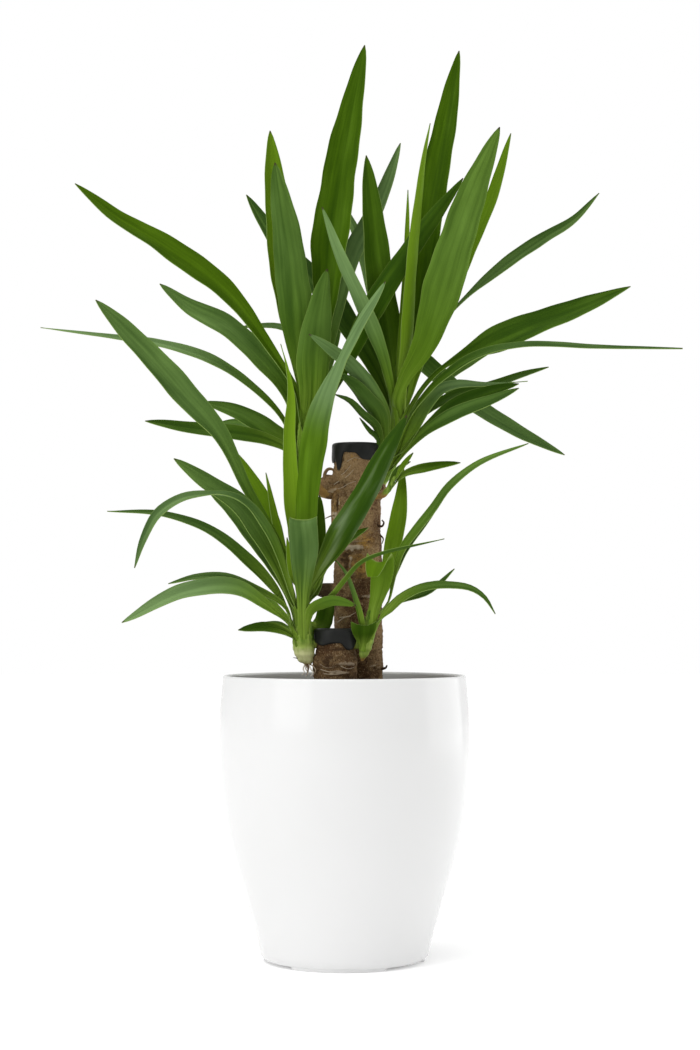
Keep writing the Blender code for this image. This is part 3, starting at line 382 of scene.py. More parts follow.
LOWER_LEFT_LEAVES = [
    Leaf("long_left", 0.65, 26, (25, 40, 50, 30, 30),
        [(-48, 318, -32), (-77.8, 374, -44), (-100, 418, -54), (-126.5, 448.8, -60), (-162.4, 488.8, -67),
        (-200, 527, -74)], (0.4, 0.55), (0.3, 0.22, 0.75, 0, 6, 0.75)),
    Leaf("mid_left", 0.6, 20, 25,
        [(-44, 292, -38), (-60, 328, -50), (-84, 362.5, -62), (-110.5, 380.5, -72), (-136.8, 399.3, -80)],
        (0.3, 0.45)),
    Leaf("arching_left", 0.55, 12, (30, 30, 45, 80, 30, 10),
        [(-45, 300, -44), (-55, 330, -56), (-66, 349, -66), (-77, 362, -73), (-91, 369.4, -81), (-112, 371, -90),
        (-132.5, 367, -98), (-150, 355, -104), (-161.2, 334, -109), (-168, 311.6, -114)], (0.3, 0.85)),
    Leaf("thin_left", 0.5, 13, (40, 35, 45),
        [(-52.5, 289.5, -28), (-76.5, 317.4, -30), (-108, 342, -32), (-146, 355, -34), (-190, 357, -34)], (0.1, 0.5),
        (0.4, 0.04, 0.4, 0, 1.8, 0.8)),
    Leaf("short_left", 0.45, 9, 40,
        [(-48, 281, -32), (-72, 295, -42), (-96, 304.6, -50), (-118, 304.6, -56), (-141, 299, -60)], (0.3, 0.6)),
    Leaf("low_left", 0.4, 16, (40, 30, 30),
        [(-44, 266, -32), (-65, 283.6, -50), (-90, 297, -66), (-130, 292.5, -86), (-178, 268, -104)], (0.75, 1)),
    Leaf("lowest_left", 0.35, 11, 40,
        [(-40, 255.5, -30), (-50, 262, -38), (-65, 264.4, -46), (-85, 262, -54)], (0, 0.1)),
    Leaf("folded_front", 0.45, 22.5, 180,
        [(-33.5, 292, -44), (-32.4, 320, -54), (-32.8, 340, -60), (-33.8, 348, -61), (-33.4, 351, -56),
        (-32, 347, -48)], (0.2, 0.55), (0.35, 0.2, 0.72, 0.9), gleam=0.2, kind="folded"),
    Leaf("young_upright", 0.8, 14, 20,
        [(-36.8, 318, -30), (-42.2, 366, -36), (-44.4, 414, -40), (-43, 452, -42), (-46.4, 474, -43),
        (-51.2, 491.5, -44)], (0.8, 0, 0.75), (0.45, 0.04, 0.4, 0, 4, 1.6)),
    Leaf("tall_right", 0.75, 25, (190, 185, 205, 251, 222),
        [(-32, 318, -32), (-27, 406, -42), (-17, 446, -48), (4, 494, -54), (33, 542, -58)], (0.47, 1),
        (0.45, 0.04, 0.6), green_to=0.5),
    Leaf("broad_right", 0.6, 21.5, 195,
        [(-29, 293, -34), (-23, 306, -38), (-15, 320, -41), (-5.5, 336.5, -44), (16, 371, -48), (34.5, 407, -54),
        (50, 434, -58)], (-0.18, 0.06), (0.2, 0.12, 0.48), gleam=0.9),
    Leaf("dark_behind", 0.8, 14, 20, [(-23, 290, -26), (-20.5, 334, -22), (-20, 370, -20)], (0, 0)),
    Leaf("narrow_left", 0.7, 9, 30,
        [(-49, 318, -22), (-58.5, 366, -22), (-63, 388, -22)], (0.5, 0, 0.6), (0.4, 0.04, 0.5, 0, 3, 0.8)),
    Leaf("young_tip", 0.9, 6, 20, [(-42, 306, -44), (-46, 336, -54)], (0.6, 0, 0.8)),
    Leaf("broad_behind", 0.65, 18, 20,
        [(-44, 292, -22), (-55.5, 334, -18), (-72.5, 376, -14), (-104, 419.5, -12)], (0.5, 0, 0.35)),
    Leaf("bent_right", 0.45, 11, (150, 150, 160),
        [(-27, 277, -38), (-18, 283, -48), (-8, 285.5, -54), (9.5, 281.6, -60)], (0.5, 0.1)),
    Leaf("thin_right", 0.6, 6.5, (140, 130, 130),
        [(-25, 276, -34), (-15, 285, -42), (-8.5, 291, -50), (0, 301.5, -58), (12, 315, -63), (26, 322, -66),
        (80, 335, -68)], (0.15, 0.2), (0.6, 0.04, 0.4, 0, 2, 0.9)),
    Leaf("dark_low_right", 0.5, 15, 170,
        [(-24, 262, -12), (-17, 268, -3), (-15, 276, -1), (-14, 285, -3)], (0, 0), (0.5, 0.04, 0.45, 0.8)),
    Leaf("narrow_right", 0.8, 11, 30, [(-24, 294, -27), (-15, 317, -25), (2, 334, -20), (19, 344, -18)], (0, 0)),
    Leaf("rear_left", 0.6, 14, 20, [(-45, 294, -6), (-57, 332, 24), (-73, 368, 50), (-89, 397, 74)]),
    Leaf("rear_level", 0.5, 16, (20, 30, 30), [(-46, 292, -4), (-65.5, 326, 36), (-89, 356, 76), (-110, 375.5, 112)]),
    Leaf("rear_low", 0.4, 13, (30, 30, 40), [(-42, 266, -4), (-64, 286, 36), (-90, 299, 80), (-118, 297, 120)]),
    Leaf("rear_lowest", 0.45, 9, (30, 40, 40), [(-41, 260, -4), (-55, 266, 26), (-74, 265, 62)]),
    Leaf("rear_upright", 0.9, 10, 10, [(-38, 318, -10), (-42, 356, 8), (-43.5, 384, 20)]),
]
LOWER_RIGHT_LEAVES = [
    Leaf("folded_over", 0.5, 21, 180,
        [(24, 279, -28), (26.6, 288, -31), (29.7, 303, -37), (29.5, 315, -41), (28, 319.3, -42), (25.5, 315, -46),
        (22.5, 304.5, -47)], (0.4, 0, 0.25), (0.28, 0.04, 0.8, 0.25, 6), kind="folded"),
    Leaf("curved_upright", 0.75, 17, (30, 20, 20),
        [(28, 288, -22), (38.2, 326, -16), (44.5, 360, -6), (47, 394, 8)], (0.5, 0, 0.4),
        (0.35, 0.1, 0.55, 0, 3, 0.8)),
    Leaf("long_right", 0.7, 8.5, (40, 30, 35),
        [(35, 284, -26), (40.3, 308, -30), (46, 326, -34), (57, 342, -37), (70, 358, -42), (84.5, 377.5, -48),
        (108, 396, -54), (147.5, 411.5, -62)], (0.4, 0.3), (0.35, 0.04, 0.5, 0, 3)),
    Leaf("drooping_right", 0.45, 9.5, (45, 40, 40),
        [(30, 272.5, -32), (37, 279.5, -36), (45, 287, -40), (60.5, 295.2, -46), (77, 297.8, -52), (100, 295.8, -61),
        (112, 288.2, -66), (120.6, 274.8, -70)], (0.05, 0.3), (0.85, 0.04, 0.35, 0, 3, 0.8)),
    Leaf("short_right", 0.55, 7, 40, [(40, 283, -30), (68, 293, -38), (88, 311, -42)], (0, 0.3)),
    Leaf("blunt_front", 0.25, 20, 180,
        [(15, 260, -34), (15, 267, -36)], (0.05, 0), (0.3, 0.04, 0.9, 1), kind="blunt"),
    Leaf("thin_left", 0.4, 6, 150,
        [(13, 272, -31), (7, 293, -33), (1, 308, -33), (-8, 319, -32)], (0.4, 0.4), (0.8, 0.04, 0.3, 0, 2, 0.8)),
    Leaf("rear_right", 0.75, 7, 20, [(36, 298, -6), (47.5, 325, 22), (60, 342, 50), (73, 358, 80)]),
    Leaf("rear_low", 0.45, 7, (30, 40, 40), [(34, 279, -10), (52, 292, 30), (76, 299.5, 66), (96, 297, 98)]),
]
SIDE_LEAVES = [
    Leaf("long", 0.7, 9, (40, 30, 40), [(48, 387, -10), (68, 392.5, -16), (93, 396, -20)], (0, 0)),
    Leaf("upright", 0.9, 5, 30, [(47, 394, -10), (55, 404, -14)], (0.4, 0, 0.3)),
    Leaf("short", 0.5, 5, 30, [(43, 391, -4), (53, 397, -4)]),
]

# Each head: its shoot, the arm that holds it, its leaves, the cane that carries it, how far from the bark the
# shoot is woody, how pale the shoot's foot is (its palest cream partly painted highlight), and how yellow-green the
# feet of its leaves are
HEADS = [
    ("upper_left_head", UPPER_LEFT_SHOOT, None, UPPER_LEFT_LEAVES, TALL_CANE, 24, 0, 0.5),
    ("upper_right_head", UPPER_RIGHT_SHOOT, None, UPPER_RIGHT_LEAVES, TALL_CANE, 3, 0, 0.5),
    ("lower_left_head", LOWER_LEFT_SHOOT, LOWER_LEFT_ARM, LOWER_LEFT_LEAVES, SHORT_CANE, -1, 1, 1),
    ("lower_right_head", LOWER_RIGHT_SHOOT, LOWER_RIGHT_ARM, LOWER_RIGHT_LEAVES, SHORT_CANE, -1, 0.3, 0.9),
    ("side_shoot", SIDE_SHOOT, None, SIDE_LEAVES, TALL_CANE, 7, 0, 0.5),
]


def seen(across, height, depth):
    """The real place, in millimetres, of a place given as it is seen from the front."""
    stretch = (EYE_DISTANCE + depth) / EYE_DISTANCE
    return np.array([across * stretch, depth, EYE_HEIGHT + (height - EYE_HEIGHT) * stretch])


def seen_stem(points):
    """The real places and the radii of a stem given as (across, height, depth, radius)."""
    return np.array([(*seen(*place), radius) for *place, radius in points])


def smooth_path(points, count):
    """Count places, evenly spaced along a smooth curve through the points."""
    points = np.array(points, dtype=float)
    steps = np.linalg.norm(np.diff(points, axis=0), axis=1)
    at = np.concatenate([[0], np.cumsum(np.sqrt(steps))])
    slopes = np.gradient(points, at, axis=0)
    fine = np.linspace(0, at[-1], CURVE_DETAIL * len(points))
    span = np.clip(np.searchsorted(at, fine, side="right") - 1, 0, len(points) - 2)
    width = (at[span + 1] - at[span])[:, None]
    t = (fine - at[span])[:, None] / width
    curve = (
        (2 * t**3 - 3 * t**2 + 1) * points[span]
        + (t**3 - 2 * t**2 + t) * width * slopes[span]
        + (3 * t**2 - 2 * t**3) * points[span + 1]
        + (t**3 - t**2) * width * slopes[span + 1]
    )
    run = np.concatenate([[0], np.cumsum(np.linalg.norm(np.diff(curve, axis=0), axis=1))])
    even = np.linspace(0, run[-1], count)
    return np.stack([np.interp(even, run, curve[:, k]) for k in range(points.shape[1])], axis=1)


def unit(vectors):
    return vectors / np.linalg.norm(vectors, axis=-1, keepdims=True)


def put_down():
    """Back to object mode with nothing selected."""
    if bpy.context.mode != "OBJECT":
        bpy.ops.object.mode_set(mode="OBJECT")
    bpy.ops.object.select_all(action="DESELECT")


def take_up(*things):
    put_down()
    for thing in things:
        thing.select_set(True)
    bpy.context.view_layer.objects.active = things[0]


def edit(thing):
    """Opens a piece in edit mode with all of it selected."""
    take_up(thing)
    bpy.ops.object.mode_set(mode="EDIT")
    bpy.ops.mesh.select_all(action="SELECT")


def tidy_skin(thing, merge=0.02):
    """Closes seams and poles and turns all faces outwards."""
    edit(thing)
    bpy.ops.mesh.remove_doubles(threshold=merge * MM)
    bpy.ops.mesh.fill_holes(sides=0)
    bpy.ops.mesh.normals_make_consistent(inside=False)
    put_down()


def apply(thing, kind, **settings):
    take_up(thing)
    made = thing.modifiers.new(kind.lower(), kind)
    for name, value in settings.items():
        setattr(made, name, value)
    bpy.ops.object.modifier_apply(modifier=made.name)


def join(things, name):
    take_up(*things)
    if len(things) > 1:
        bpy.ops.object.join()
    things[0].name = name
    things[0].data.name = name
    return things[0]


def smooth(thing, degrees):
    take_up(thing)
    bpy.ops.object.shade_smooth_by_angle(angle=math.radians(degrees))
    put_down()


def places_of(thing):
    places = np.empty(len(thing.data.vertices) * 3)
    thing.data.vertices.foreach_get("co", places)
    return places.reshape(-1, 3) / MM


def normals_of(thing):
    ways = np.empty(len(thing.data.vertices) * 3)
    thing.data.vertex_normals.foreach_get("vector", ways)
    return ways.reshape(-1, 3)


def set_places(thing, places):
    thing.data.vertices.foreach_set("co", (places * MM).ravel())
    thing.data.update()


def paint_on(thing, **marks):
    """Keeps values for each vertex that a finish reads by their names."""
    for name, values in marks.items():
        layer = thing.data.attributes.get(name) or thing.data.attributes.new(name, "FLOAT", "POINT")
        layer.data.foreach_set("value", np.broadcast_to(values, len(thing.data.vertices)).astype(np.float32))


def finish_with(thing, *names):
    thing.data.materials.clear()
    for name in names:
        thing.data.materials.append(finishes[name])


def raised(name, rows, steps):
    """A turned piece: a circle, extruded row by row through places of (radius, height)."""
    put_down()
    bpy.ops.mesh.primitive_circle_add(vertices=steps, radius=rows[0][0] * MM, location=(0, 0, 0))
    thing = bpy.context.object
    thing.name = name
    edit(thing)
    bpy.ops.transform.translate(value=(0, 0, rows[0][1] * MM))
    for (radius, height), (next_radius, next_height) in zip(rows, rows[1:]):
        bpy.ops.mesh.extrude_region_move(TRANSFORM_OT_translate={"value": (0, 0, (next_height - height) * MM)})
        grow = next_radius / radius
        bpy.ops.transform.resize(value=(grow, grow, 1), center_override=(0, 0, next_height * MM))
    put_down()
    return thing


def grid(name, columns, rows):
    """A flat grid to roll up or bend, and how far across it from -1 to 1 and in which row each vertex lies."""
    put_down()
    bpy.ops.mesh.primitive_grid_add(x_subdivisions=columns, y_subdivisions=rows, size=2)
    thing = bpy.context.object
    thing.name = name
    flat = places_of(thing) * MM
    return thing, flat[:, 0], np.rint((flat[:, 1] + 1) / 2 * rows).astype(int)


def ball(subdivisions):
    """A ball of 1 mm radius to be shaped, and its vertices' places."""
    put_down()
    bpy.ops.mesh.primitive_ico_sphere_add(subdivisions=subdivisions, radius=MM, location=(0, 0, 0))
    return bpy.context.object, places_of(bpy.context.object)


def tube(name, stem, steps, rows=None):
    """A round stem through real places with a radius each, made from a rolled-up grid."""
    rows = rows or len(stem) * 3
    line = smooth_path(stem, rows + 1)
    path, radii = line[:, :3], line[:, 3:]
    along = unit(np.gradient(path, axis=0))
    side = unit(np.cross(along, [0.3, 1, 0.1]))
    other = np.cross(along, side)
    thing, column, row = grid(name, steps, rows)
    turn = (column * math.pi)[:, None]
    ring = np.cos(turn) * side[row] + np.sin(turn) * other[row]
    set_places(thing, path[row] + radii[row] * ring)
    tidy_skin(thing)
    return thing


def ripple(places, scale, seed=0.0):
    """Smooth noise from -1 to 1 at each place, with waves of about the given length."""
    scale = np.broadcast_to(scale, 3)
    return np.array([noise.noise(Vector(place / scale) + Vector((seed, seed * 2, seed * 3))) for place in places])


def bump(away, spread):
    """1 at no distance, falling smoothly to nothing over about twice the spread."""
    return np.exp(-((away / spread) ** 2))


def ease(share):
    """From 0 to 1 with a soft start and end."""
    share = np.clip(share, 0, 1)
    return share * share * (3 - 2 * share)


def around_axis(places):
    """Each place's angle round from the front to the right, in degrees, and its distance from the upright axis."""
    return np.degrees(np.arctan2(places[:, 0], -places[:, 1])), np.hypot(places[:, 0], places[:, 1])


# Leaves


def blade_width(share, leaf, sheath):
    """Full width at a share of the length: a clasping sheath, a neck, broad past the middle, sharp at the tip."""
    neck, neck_to, full_from, end, fall, rounding = leaf.shape
    base = neck + (1 - neck) * ease((share - neck_to) / (full_from - neck_to))
    clasp = (sheath - leaf.width * neck) * (1 - ease(share / SHEATH_END)) * ease(0.4 + share / 0.03)
    narrowed = leaf.width * base * (1 - (1 - end) * share**fall) ** rounding
    return np.maximum(narrowed + clasp, BLADE_TIP)


def outline_waves(chance, run):
    """The gentle unevenness of one edge of a blade, as a share of its width, along its length in millimetres."""
    return sum(much * np.sin(FULL_TURN * run / long + chance.uniform(0, FULL_TURN)) for long, much in WOBBLES)


def leaf_line(shoot, leaf):
    """The leaf's middle line from its sheath on the shoot's side to its tip, and the sheath's width and way out."""
    line = smooth_path(seen_stem(shoot), SHOOT_PLACES + 1)
    at = round(leaf.level * SHOOT_PLACES)
    root, low, thick = line[at, :3], line[max(0, at - SHEATH_DROP), :3], line[at, 3]
    up = unit(line[min(at + 1, SHOOT_PLACES), :3] - line[at - 1, :3])
    out = seen(*leaf.line[0]) - root
    out = unit(out - np.dot(out, up) * up)
    clasp = [low + out * thick * SHEATH_IN, root + out * thick * SHEATH_OUT]
    return clasp + [seen(*place) for place in leaf.line], min(SHEATH_WIDTH * thick, SHEATH_MOST * leaf.width), out


def blade_faces_to(path, turns, crown, out):
    """Ways along the blade and out of its upper face, from how far it is turned away from the viewer."""
    along = unit(np.gradient(path, axis=0))
    to_eye = np.array([0, -EYE_DISTANCE, EYE_HEIGHT]) - path
    to_eye = unit(to_eye - np.sum(to_eye * along, axis=1, keepdims=True) * along)
    inward = np.cross(along, to_eye)
    middle = len(path) // 2
    if np.dot(inward[middle], crown - path[middle]) < 0:
        inward = -inward
    share = np.linspace(0, 1, len(path))
    turn = np.radians(np.interp(share, np.linspace(0, 1, len(turns)), turns))[:, None]
    upper = np.cos(turn) * to_eye + np.sin(turn) * inward
    held = unit(-out - np.sum(-out * along, axis=1, keepdims=True) * along)
    blend_row = round(ROOT_BLEND * len(path))
    mix = ease(share / ROOT_BLEND)[:, None]
    if np.dot(upper[blend_row], held[blend_row]) < OPPOSED:
        mix = ease(share / ROOT_BLEND * 2 - 0.2)[:, None]
    axis = unit(np.cross(held, upper) + along * 1e-3)
    angle = np.arccos(np.clip(np.sum(held * upper, axis=1), -1, 1))[:, None] * mix
    turned = held * np.cos(angle) + np.cross(axis, held) * np.sin(angle)
    return along, unit(turned)


def make_blade(head, shoot, leaf, number, foot_glow):
    """One leaf: a grid bent along its line, cupped across, gently waved, and given its thickness."""
    chance = np.random.default_rng(number)
    line, sheath, out = leaf_line(shoot, leaf)
    crown = seen(*shoot[-1][:3]) + [0, 0, LEAN_HEIGHT]
    length = np.sum(np.linalg.norm(np.diff(line, axis=0), axis=1))
    rows = max(FEWEST_ROWS, round(length / (FOLD_ROW if leaf.folded else BLADE_ROW)))
    path = smooth_path(line, rows + 1)
    steps = np.linspace(0, 1, rows + 1)
    along, upper = blade_faces_to(path, leaf.turns, crown, out)
    across = unit(np.cross(along, upper))
    if leaf.folded:
        fold = unit(across[len(across) // 3] * [1, 0, 0])
        level = ease((steps - 0.1) / 0.3)[:, None]
        across = unit(across * (1 - level) + fold * level)
    upper = unit(np.cross(across, along))

    thing, side, row = grid(f"{head}_{leaf.name}", BLADE_COLUMNS, rows)
    share, full = steps[row], blade_width(steps, leaf, sheath)[row]
    bend = np.interp(steps, *zip(*CUP))[row] * chance.uniform(0.85, 1.15)
    curl = full / 2 / np.sin(bend / 2)
    sideways = curl * np.sin(side * bend / 2)
    edges = [outline_waves(chance, steps * length)[row] for _ in range(2)]
    sideways *= 1 + np.where(side < 0, *edges) * np.clip(share * 5 - 0.5, 0, 1)
    rise = curl * (1 - np.cos(side * bend / 2)) - 0.5 * curl * (1 - np.cos(bend / 2))
    rise += full * EDGE_LIFT * (np.abs(side) - 0.5)
    waves = chance.uniform(1.6, 2.8, 2) * length / WAVE_LENGTH
    starts = chance.uniform(0, FULL_TURN, 2)
    left, right = [
        np.sin(FULL_TURN * wave * share + start) * np.clip(way * side, 0, 1) ** 2
        for wave, start, way in zip(waves, starts, (-1, 1))
    ]
    size = full * WAVE_SIZE * np.clip(share * 4, 0, 1)
    rise += size * (left + right) + PLEAT_SIZE * full * np.cos(side * math.pi * PLEATS + starts[0])
    places = path[row] + sideways[:, None] * across[row] + rise[:, None] * upper[row]
    if leaf.blunt:
        notch = 2.5 * np.abs(side) ** 1.5 - 1.2 + 0.6 * ripple(places, 3)
        places += (share**4 * notch)[:, None] * along[row]
    crest = np.max(path[:, 2]) - path[row, 2]
    if leaf.folded:
        places[:, 2] += bump(crest, BEND_SPREAD) * full * 0.24 * (side**2 - 0.45)
    set_places(thing, places)

    blue = ease((share - leaf.green_to) / 0.15) if leaf.green_to else 1
    # half: the sign and strength of the painted light on one half of the blade and the painted shade on the other
    paint_on(
        thing, light=leaf.light, bloom=leaf.bloom * blue, youth=leaf.youth, gleam=leaf.gleam,
        foot=leaf.foot or foot_glow, half=chance.choice([-1, 1]) * chance.uniform(0.3, 1),
        crease=bump(crest, CREASE) * leaf.folded, sound_tip=leaf.folded or leaf.blunt, chance=chance.uniform(),
        width=leaf.width, length=length,
    )
    finish_with(thing, "leaf_upper", "leaf_under", "leaf_margin")
    apply(thing, "SOLIDIFY", thickness=BLADE_THICKNESS * MM, offset=0, material_offset=1, material_offset_rim=2)
    return thing


def make_head(name, shoot, arm, leaves, cane, woody_reach, pale, foot_glow):
    """A shoot, woody near its cane and pale or green above, and all its leaves as one piece."""
    line = seen_stem(shoot)
    stem = tube(f"{name}_stem", line, SHOOT_STEPS, SHOOT_ROWS)
    if arm:
        stem = join([stem, tube(f"{name}_arm", seen_stem(arm), 16)], f"{name}_stem")
    ways, places = normals_of(stem), places_of(stem)
    over_foot = places[:, 2] - line[0, 2]
    scars = 0.2 * np.sin(places[:, 2] * 1.3 + 0.8 * ripple(places, 9)) + 0.4 * ripple(places, 7, 3)
    round_shoot = np.arctan2(ways[:, 0], -ways[:, 1]) + 0.02 * over_foot
    scars += 0.3 * np.clip(np.sin(round_shoot * SHOOT_FLUTES), -0.4, 1) * ease((over_foot - 8) / 12)
    set_places(stem, places + scars[:, None] * ways)
    off_cane = np.hypot(*(places[:, :2] - middle_line(cane, places[:, 2])).T) - cane["radius"]
    woody = np.maximum(ease((woody_reach + 3 - off_cane) / 6), ease((3.4 - over_foot) / 2.5))
    paint_on(stem, woody=woody, pale=pale * ease((24 - over_foot) / 18))
    finish_with(stem, "shoot")
    blades = [make_blade(name, shoot, leaf, number, foot_glow) for number, leaf in enumerate(leaves)]
    head = join([stem, *blades], f"{name}_leaves")
    smooth(head, 50)
    settle(head, "leaf", name)


# Canes and wax


def middle_line(cane, heights):
    """The cane's sloping middle line as (across, depth) at each height."""
    at = (np.asarray(heights) - CANE_BOTTOM) / (cane["height"] - CANE_BOTTOM)
    return np.array([cane["foot"][k] + (cane["top"][k] - cane["foot"][k]) * at for k in (0, 1)]).T


def lean(thing, cane):
    places = places_of(thing)
    places[:, :2] += middle_line(cane, places[:, 2])
    set_places(thing, places)


def make_knot(number, place, half_sizes):
    knot, shape = ball(3)
    knot.name = f"knot_{number}"
    set_places(knot, seen(*place) + shape * half_sizes * (1 + 0.3 * ripple(shape, 0.6, number))[:, None])
    return knot


def make_cane(node, cane, knots, stubs, scars, fibre_name, fibres):
    """A cane with ring scars, wrinkled bark and torn patches, made one skin with its knots and stubs."""
    top, radius, seed = cane["height"], cane["radius"], cane["seed"]
    rows = [(ON_AXIS, top), (radius - NECK - 1.5, top), (radius - NECK, top - 1.5)]
    rows += [(radius - NECK, top - NECK_HEIGHT + 3), (radius, top - NECK_HEIGHT)]
    rows += [(radius, CANE_BOTTOM + 3), (radius - 3, CANE_BOTTOM), (ON_AXIS, CANE_BOTTOM)]
    stem = raised(node, rows, CANE_STEPS)
    lean(stem, cane)
    tidy_skin(stem, AXIS_WELD)
    lumps = [make_knot(number, *knot) for number, knot in enumerate(knots)]
    lumps += [tube(f"{node}_stub", seen_stem(stub), 24) for stub in stubs]
    stem = join([stem, *lumps], f"{node}_bark")
    apply(stem, "REMESH", mode="VOXEL", voxel_size=CANE_GRAIN * MM)

    chance = np.random.default_rng(seed)
    places, ways = places_of(stem), normals_of(stem)
    height = places[:, 2]
    turn = places[:, :2] - middle_line(cane, height)
    turn = turn / np.maximum(np.linalg.norm(turn, axis=1, keepdims=True), 1)
    round_place = np.column_stack([turn * 12, height])
    crumple = (0.3 - np.abs(ripple(round_place, (6, 6, 5), seed + 4))) * 1.1
    crack = bump(ripple(round_place, (11, 11, 6), seed + 12), 0.03)
    crack = crack * np.clip(ripple(round_place, 17, seed + 14) * 4, 0, 1)
    level = crumple - 0.8 * crack
    # painted shade: cracks darkened as well as sunk; painted highlight: raised crumples a little paler
    mark = 0.25 * crumple - 0.9 * crack
    gold = np.zeros(len(places))
    wobble = ripple(round_place * [1, 1, 0.15], 9, seed + 2) * 3
    ring = top - FIRST_RING
    while ring > SOIL_LEVEL - 10:
        away = height - ring - wobble
        shown = np.clip(0.3 + 2.2 * ripple(round_place * [1, 1, 0.3], 13, seed + ring), 0, 1)
        level += shown * (0.5 * bump(away, 0.9) - 0.5 * bump(away + 1.8, 1.1))
        # each ring's ridge painted pale as a highlight and the groove under it painted dark as shade
        mark += shown * (0.45 * bump(away, 0.8) - 0.5 * bump(away + 1.8, 0.9))
        ring -= chance.uniform(*RING_GAPS)
    # each scar's pale or dark, partly its own tone and partly painted shade in hollows and painted highlight on
    # ridges
    for across, scar_height, half_width, half_height, lift, shade, tint in scars:
        near = np.hypot((places[:, 0] - across) / half_width, (height - scar_height) / half_height)
        near = np.clip(1.3 - near + 0.7 * ripple(places, 3, seed + across), 0, 1) * (turn[:, 1] < 0.1)
        level += lift * near
        mark += shade * near
        gold += tint * near
    for lengths, own_seed, size in BARK_WAVES:
        level += ripple(round_place, lengths, seed + own_seed) * size
    free = np.clip((top - 11 - height) / 3, 0.12, 1) * np.clip((height - SOIL_LEVEL) / 6, 0.2, 1)
    set_places(stem, places + np.clip(level * free, *BARK_REACH)[:, None] * ways)
    # the cut stub's end darkened: partly its dead wood, partly painted shade
    dead_end_and_shade = np.clip((-8 - places[:, 0]) / 4, 0, 1) * (np.abs(height - STUB_HEIGHT) < 8)
    paint_on(stem, mark=mark, gold=gold, stub=dead_end_and_shade)
    finish_with(stem, "bark")
    loose = [make_fibre(f"{fibre_name}_{number}", *fibre) for number, fibre in enumerate(fibres)]
    bark = join([stem, *loose], f"{node}_bark")
    smooth(bark, 80)
    settle(bark, "bark", node)


def make_fibre(name, places, thickness, mark):
    """A thin curl or root, dark or pale by its mark: places are (across, height, depth)."""
    radii = thickness * np.linspace(1, 0.45, len(places))
    fibre = tube(name, np.column_stack([[seen(*place) for place in places], radii]), 8)
    paint_on(fibre, mark=mark, stub=0, gold=0)
    finish_with(fibre, "bark")
    return fibre


def drop(angle, drips):
    """How far the wax hangs below its even edge at an angle from the front, in degrees."""
    hang = np.zeros(len(angle))
    for middle, length, spread in drips:
        away = (angle - middle + 180) % 360 - 180
        hang += length * np.exp(-((np.abs(away) / spread) ** 4))
    return hang


def make_wax(node, cane, wax):
    """A poured cap: a low dome and a skirt whose edge runs down in drips."""
    inner = cane["radius"] - NECK + WAX_GAP
    outer = inner + WAX_SIDE
    under, top = cane["height"] + WAX_GAP, cane["height"] + WAX_GAP + WAX_TOP
    edge, shoulder = cane["height"] - wax["skirt"], under - 1.5
    rows = [(ON_AXIS, top - 0.5), (outer * 0.5, top - 0.35), (outer - 3, top), (outer - 1.2, top - 0.35)]
    rows += [(outer, top - 1.6)] + [(outer, height) for height in np.linspace(shoulder, edge + 1, 7)]
    rows += [(outer - 0.3, edge + 0.3), ((inner + outer) / 2, edge), (inner, edge + 0.4)]
    rows += [(inner, height) for height in np.linspace(edge + 1, shoulder, 5)]
    rows += [(inner - 1.5, under), (ON_AXIS, under)]
    cap = raised(f"{node}_cap", rows, WAX_STEPS)
    places = places_of(cap)
    angle, far = around_axis(places)
    low = np.clip((shoulder - places[:, 2]) / (shoulder - edge), 0, 1) * (far > inner - 0.5)
    hang = drop(angle, wax["drips"]) + 0.8 * ripple(places * [1, 1, 0], 6)
    places[:, 2] -= hang * low
    bulge = (0.3 * ripple(places, 7, 4) + 0.25 * low * np.clip(hang / 6, 0, 1)) * (far > inner + 0.3)
    places[:, :2] += bulge[:, None] * (places[:, :2] / np.maximum(far, 1)[:, None])
    set_places(cap, places)
    lean(cap, cane)
    tidy_skin(cap, AXIS_WELD)
    apply(cap, "SUBSURF", levels=1, render_levels=1)
    smooth(cap, 60)
    finish_with(cap, "wax")
    settle(cap, "wax", node)


# Pot and soil


def pot_side(height):
    """Radius of the pot's outer side at a height."""
    side = smooth_path(POT_SIDE, POT_SIDE_ROWS)[::-1]
    return np.interp(height, side[:, 1], side[:, 0])


def make_pot():
    side = [tuple(place) for place in smooth_path(POT_SIDE, POT_SIDE_ROWS)]
    middle = POT_SIDE[0][0] - LIP_RADIUS
    lip = [
        (middle + LIP_RADIUS * math.cos(a), POT_HEIGHT - LIP_RADIUS + LIP_RADIUS * math.sin(a))
        for a in np.linspace(0, math.pi, LIP_STEPS)
    ]
    foot = [(ON_AXIS, 0), (30, 0), (FOOT_GAP_FROM - 0.1, 0), (FOOT_GAP_FROM, 0), (FOOT_RADIUS - 2, 0)]
    foot += [(FOOT_RADIUS - FOOT_BEVEL, 0), (FOOT_RADIUS, FOOT_BEVEL), (FOOT_RADIUS, FOOT_HEIGHT)]
    inside = [(radius - POT_WALL, height) for radius, height in side if height > POT_FLOOR + 4]
    floor = [(pot_side(POT_FLOOR + 1) - POT_WALL, POT_FLOOR + 1), (pot_side(POT_FLOOR) - POT_WALL - 3, POT_FLOOR)]
    rows = foot + side[::-1] + lip + inside + floor + [(ON_AXIS, POT_FLOOR)]
    pot = raised("pot_shell", rows, POT_STEPS)
    places = places_of(pot)
    angle, far = around_axis(places)
    low = (places[:, 2] < FOOT_HEIGHT) & (far > FOOT_GAP_FROM - 0.05)
    for gap in FOOT_GAP_MIDDLES:
        away = np.abs((angle - gap + 180) % 360 - 180)
        places[low & (away < FOOT_GAP_TURN), 2] = FOOT_HEIGHT
    set_places(pot, places)
    tidy_skin(pot, 0.06)
    smooth(pot, 35)
    finish_with(pot, "pot_gloss")
    settle(pot, "pot", "pot")


def inside_pot(height):
    """Radius of the soil at a height."""
    return float(pot_side(height)) - POT_WALL - SOIL_GAP


def soil_top(radius, edge):
    return SOIL_LEVEL + SOIL_DOME * (1 - (radius / edge) ** 2)


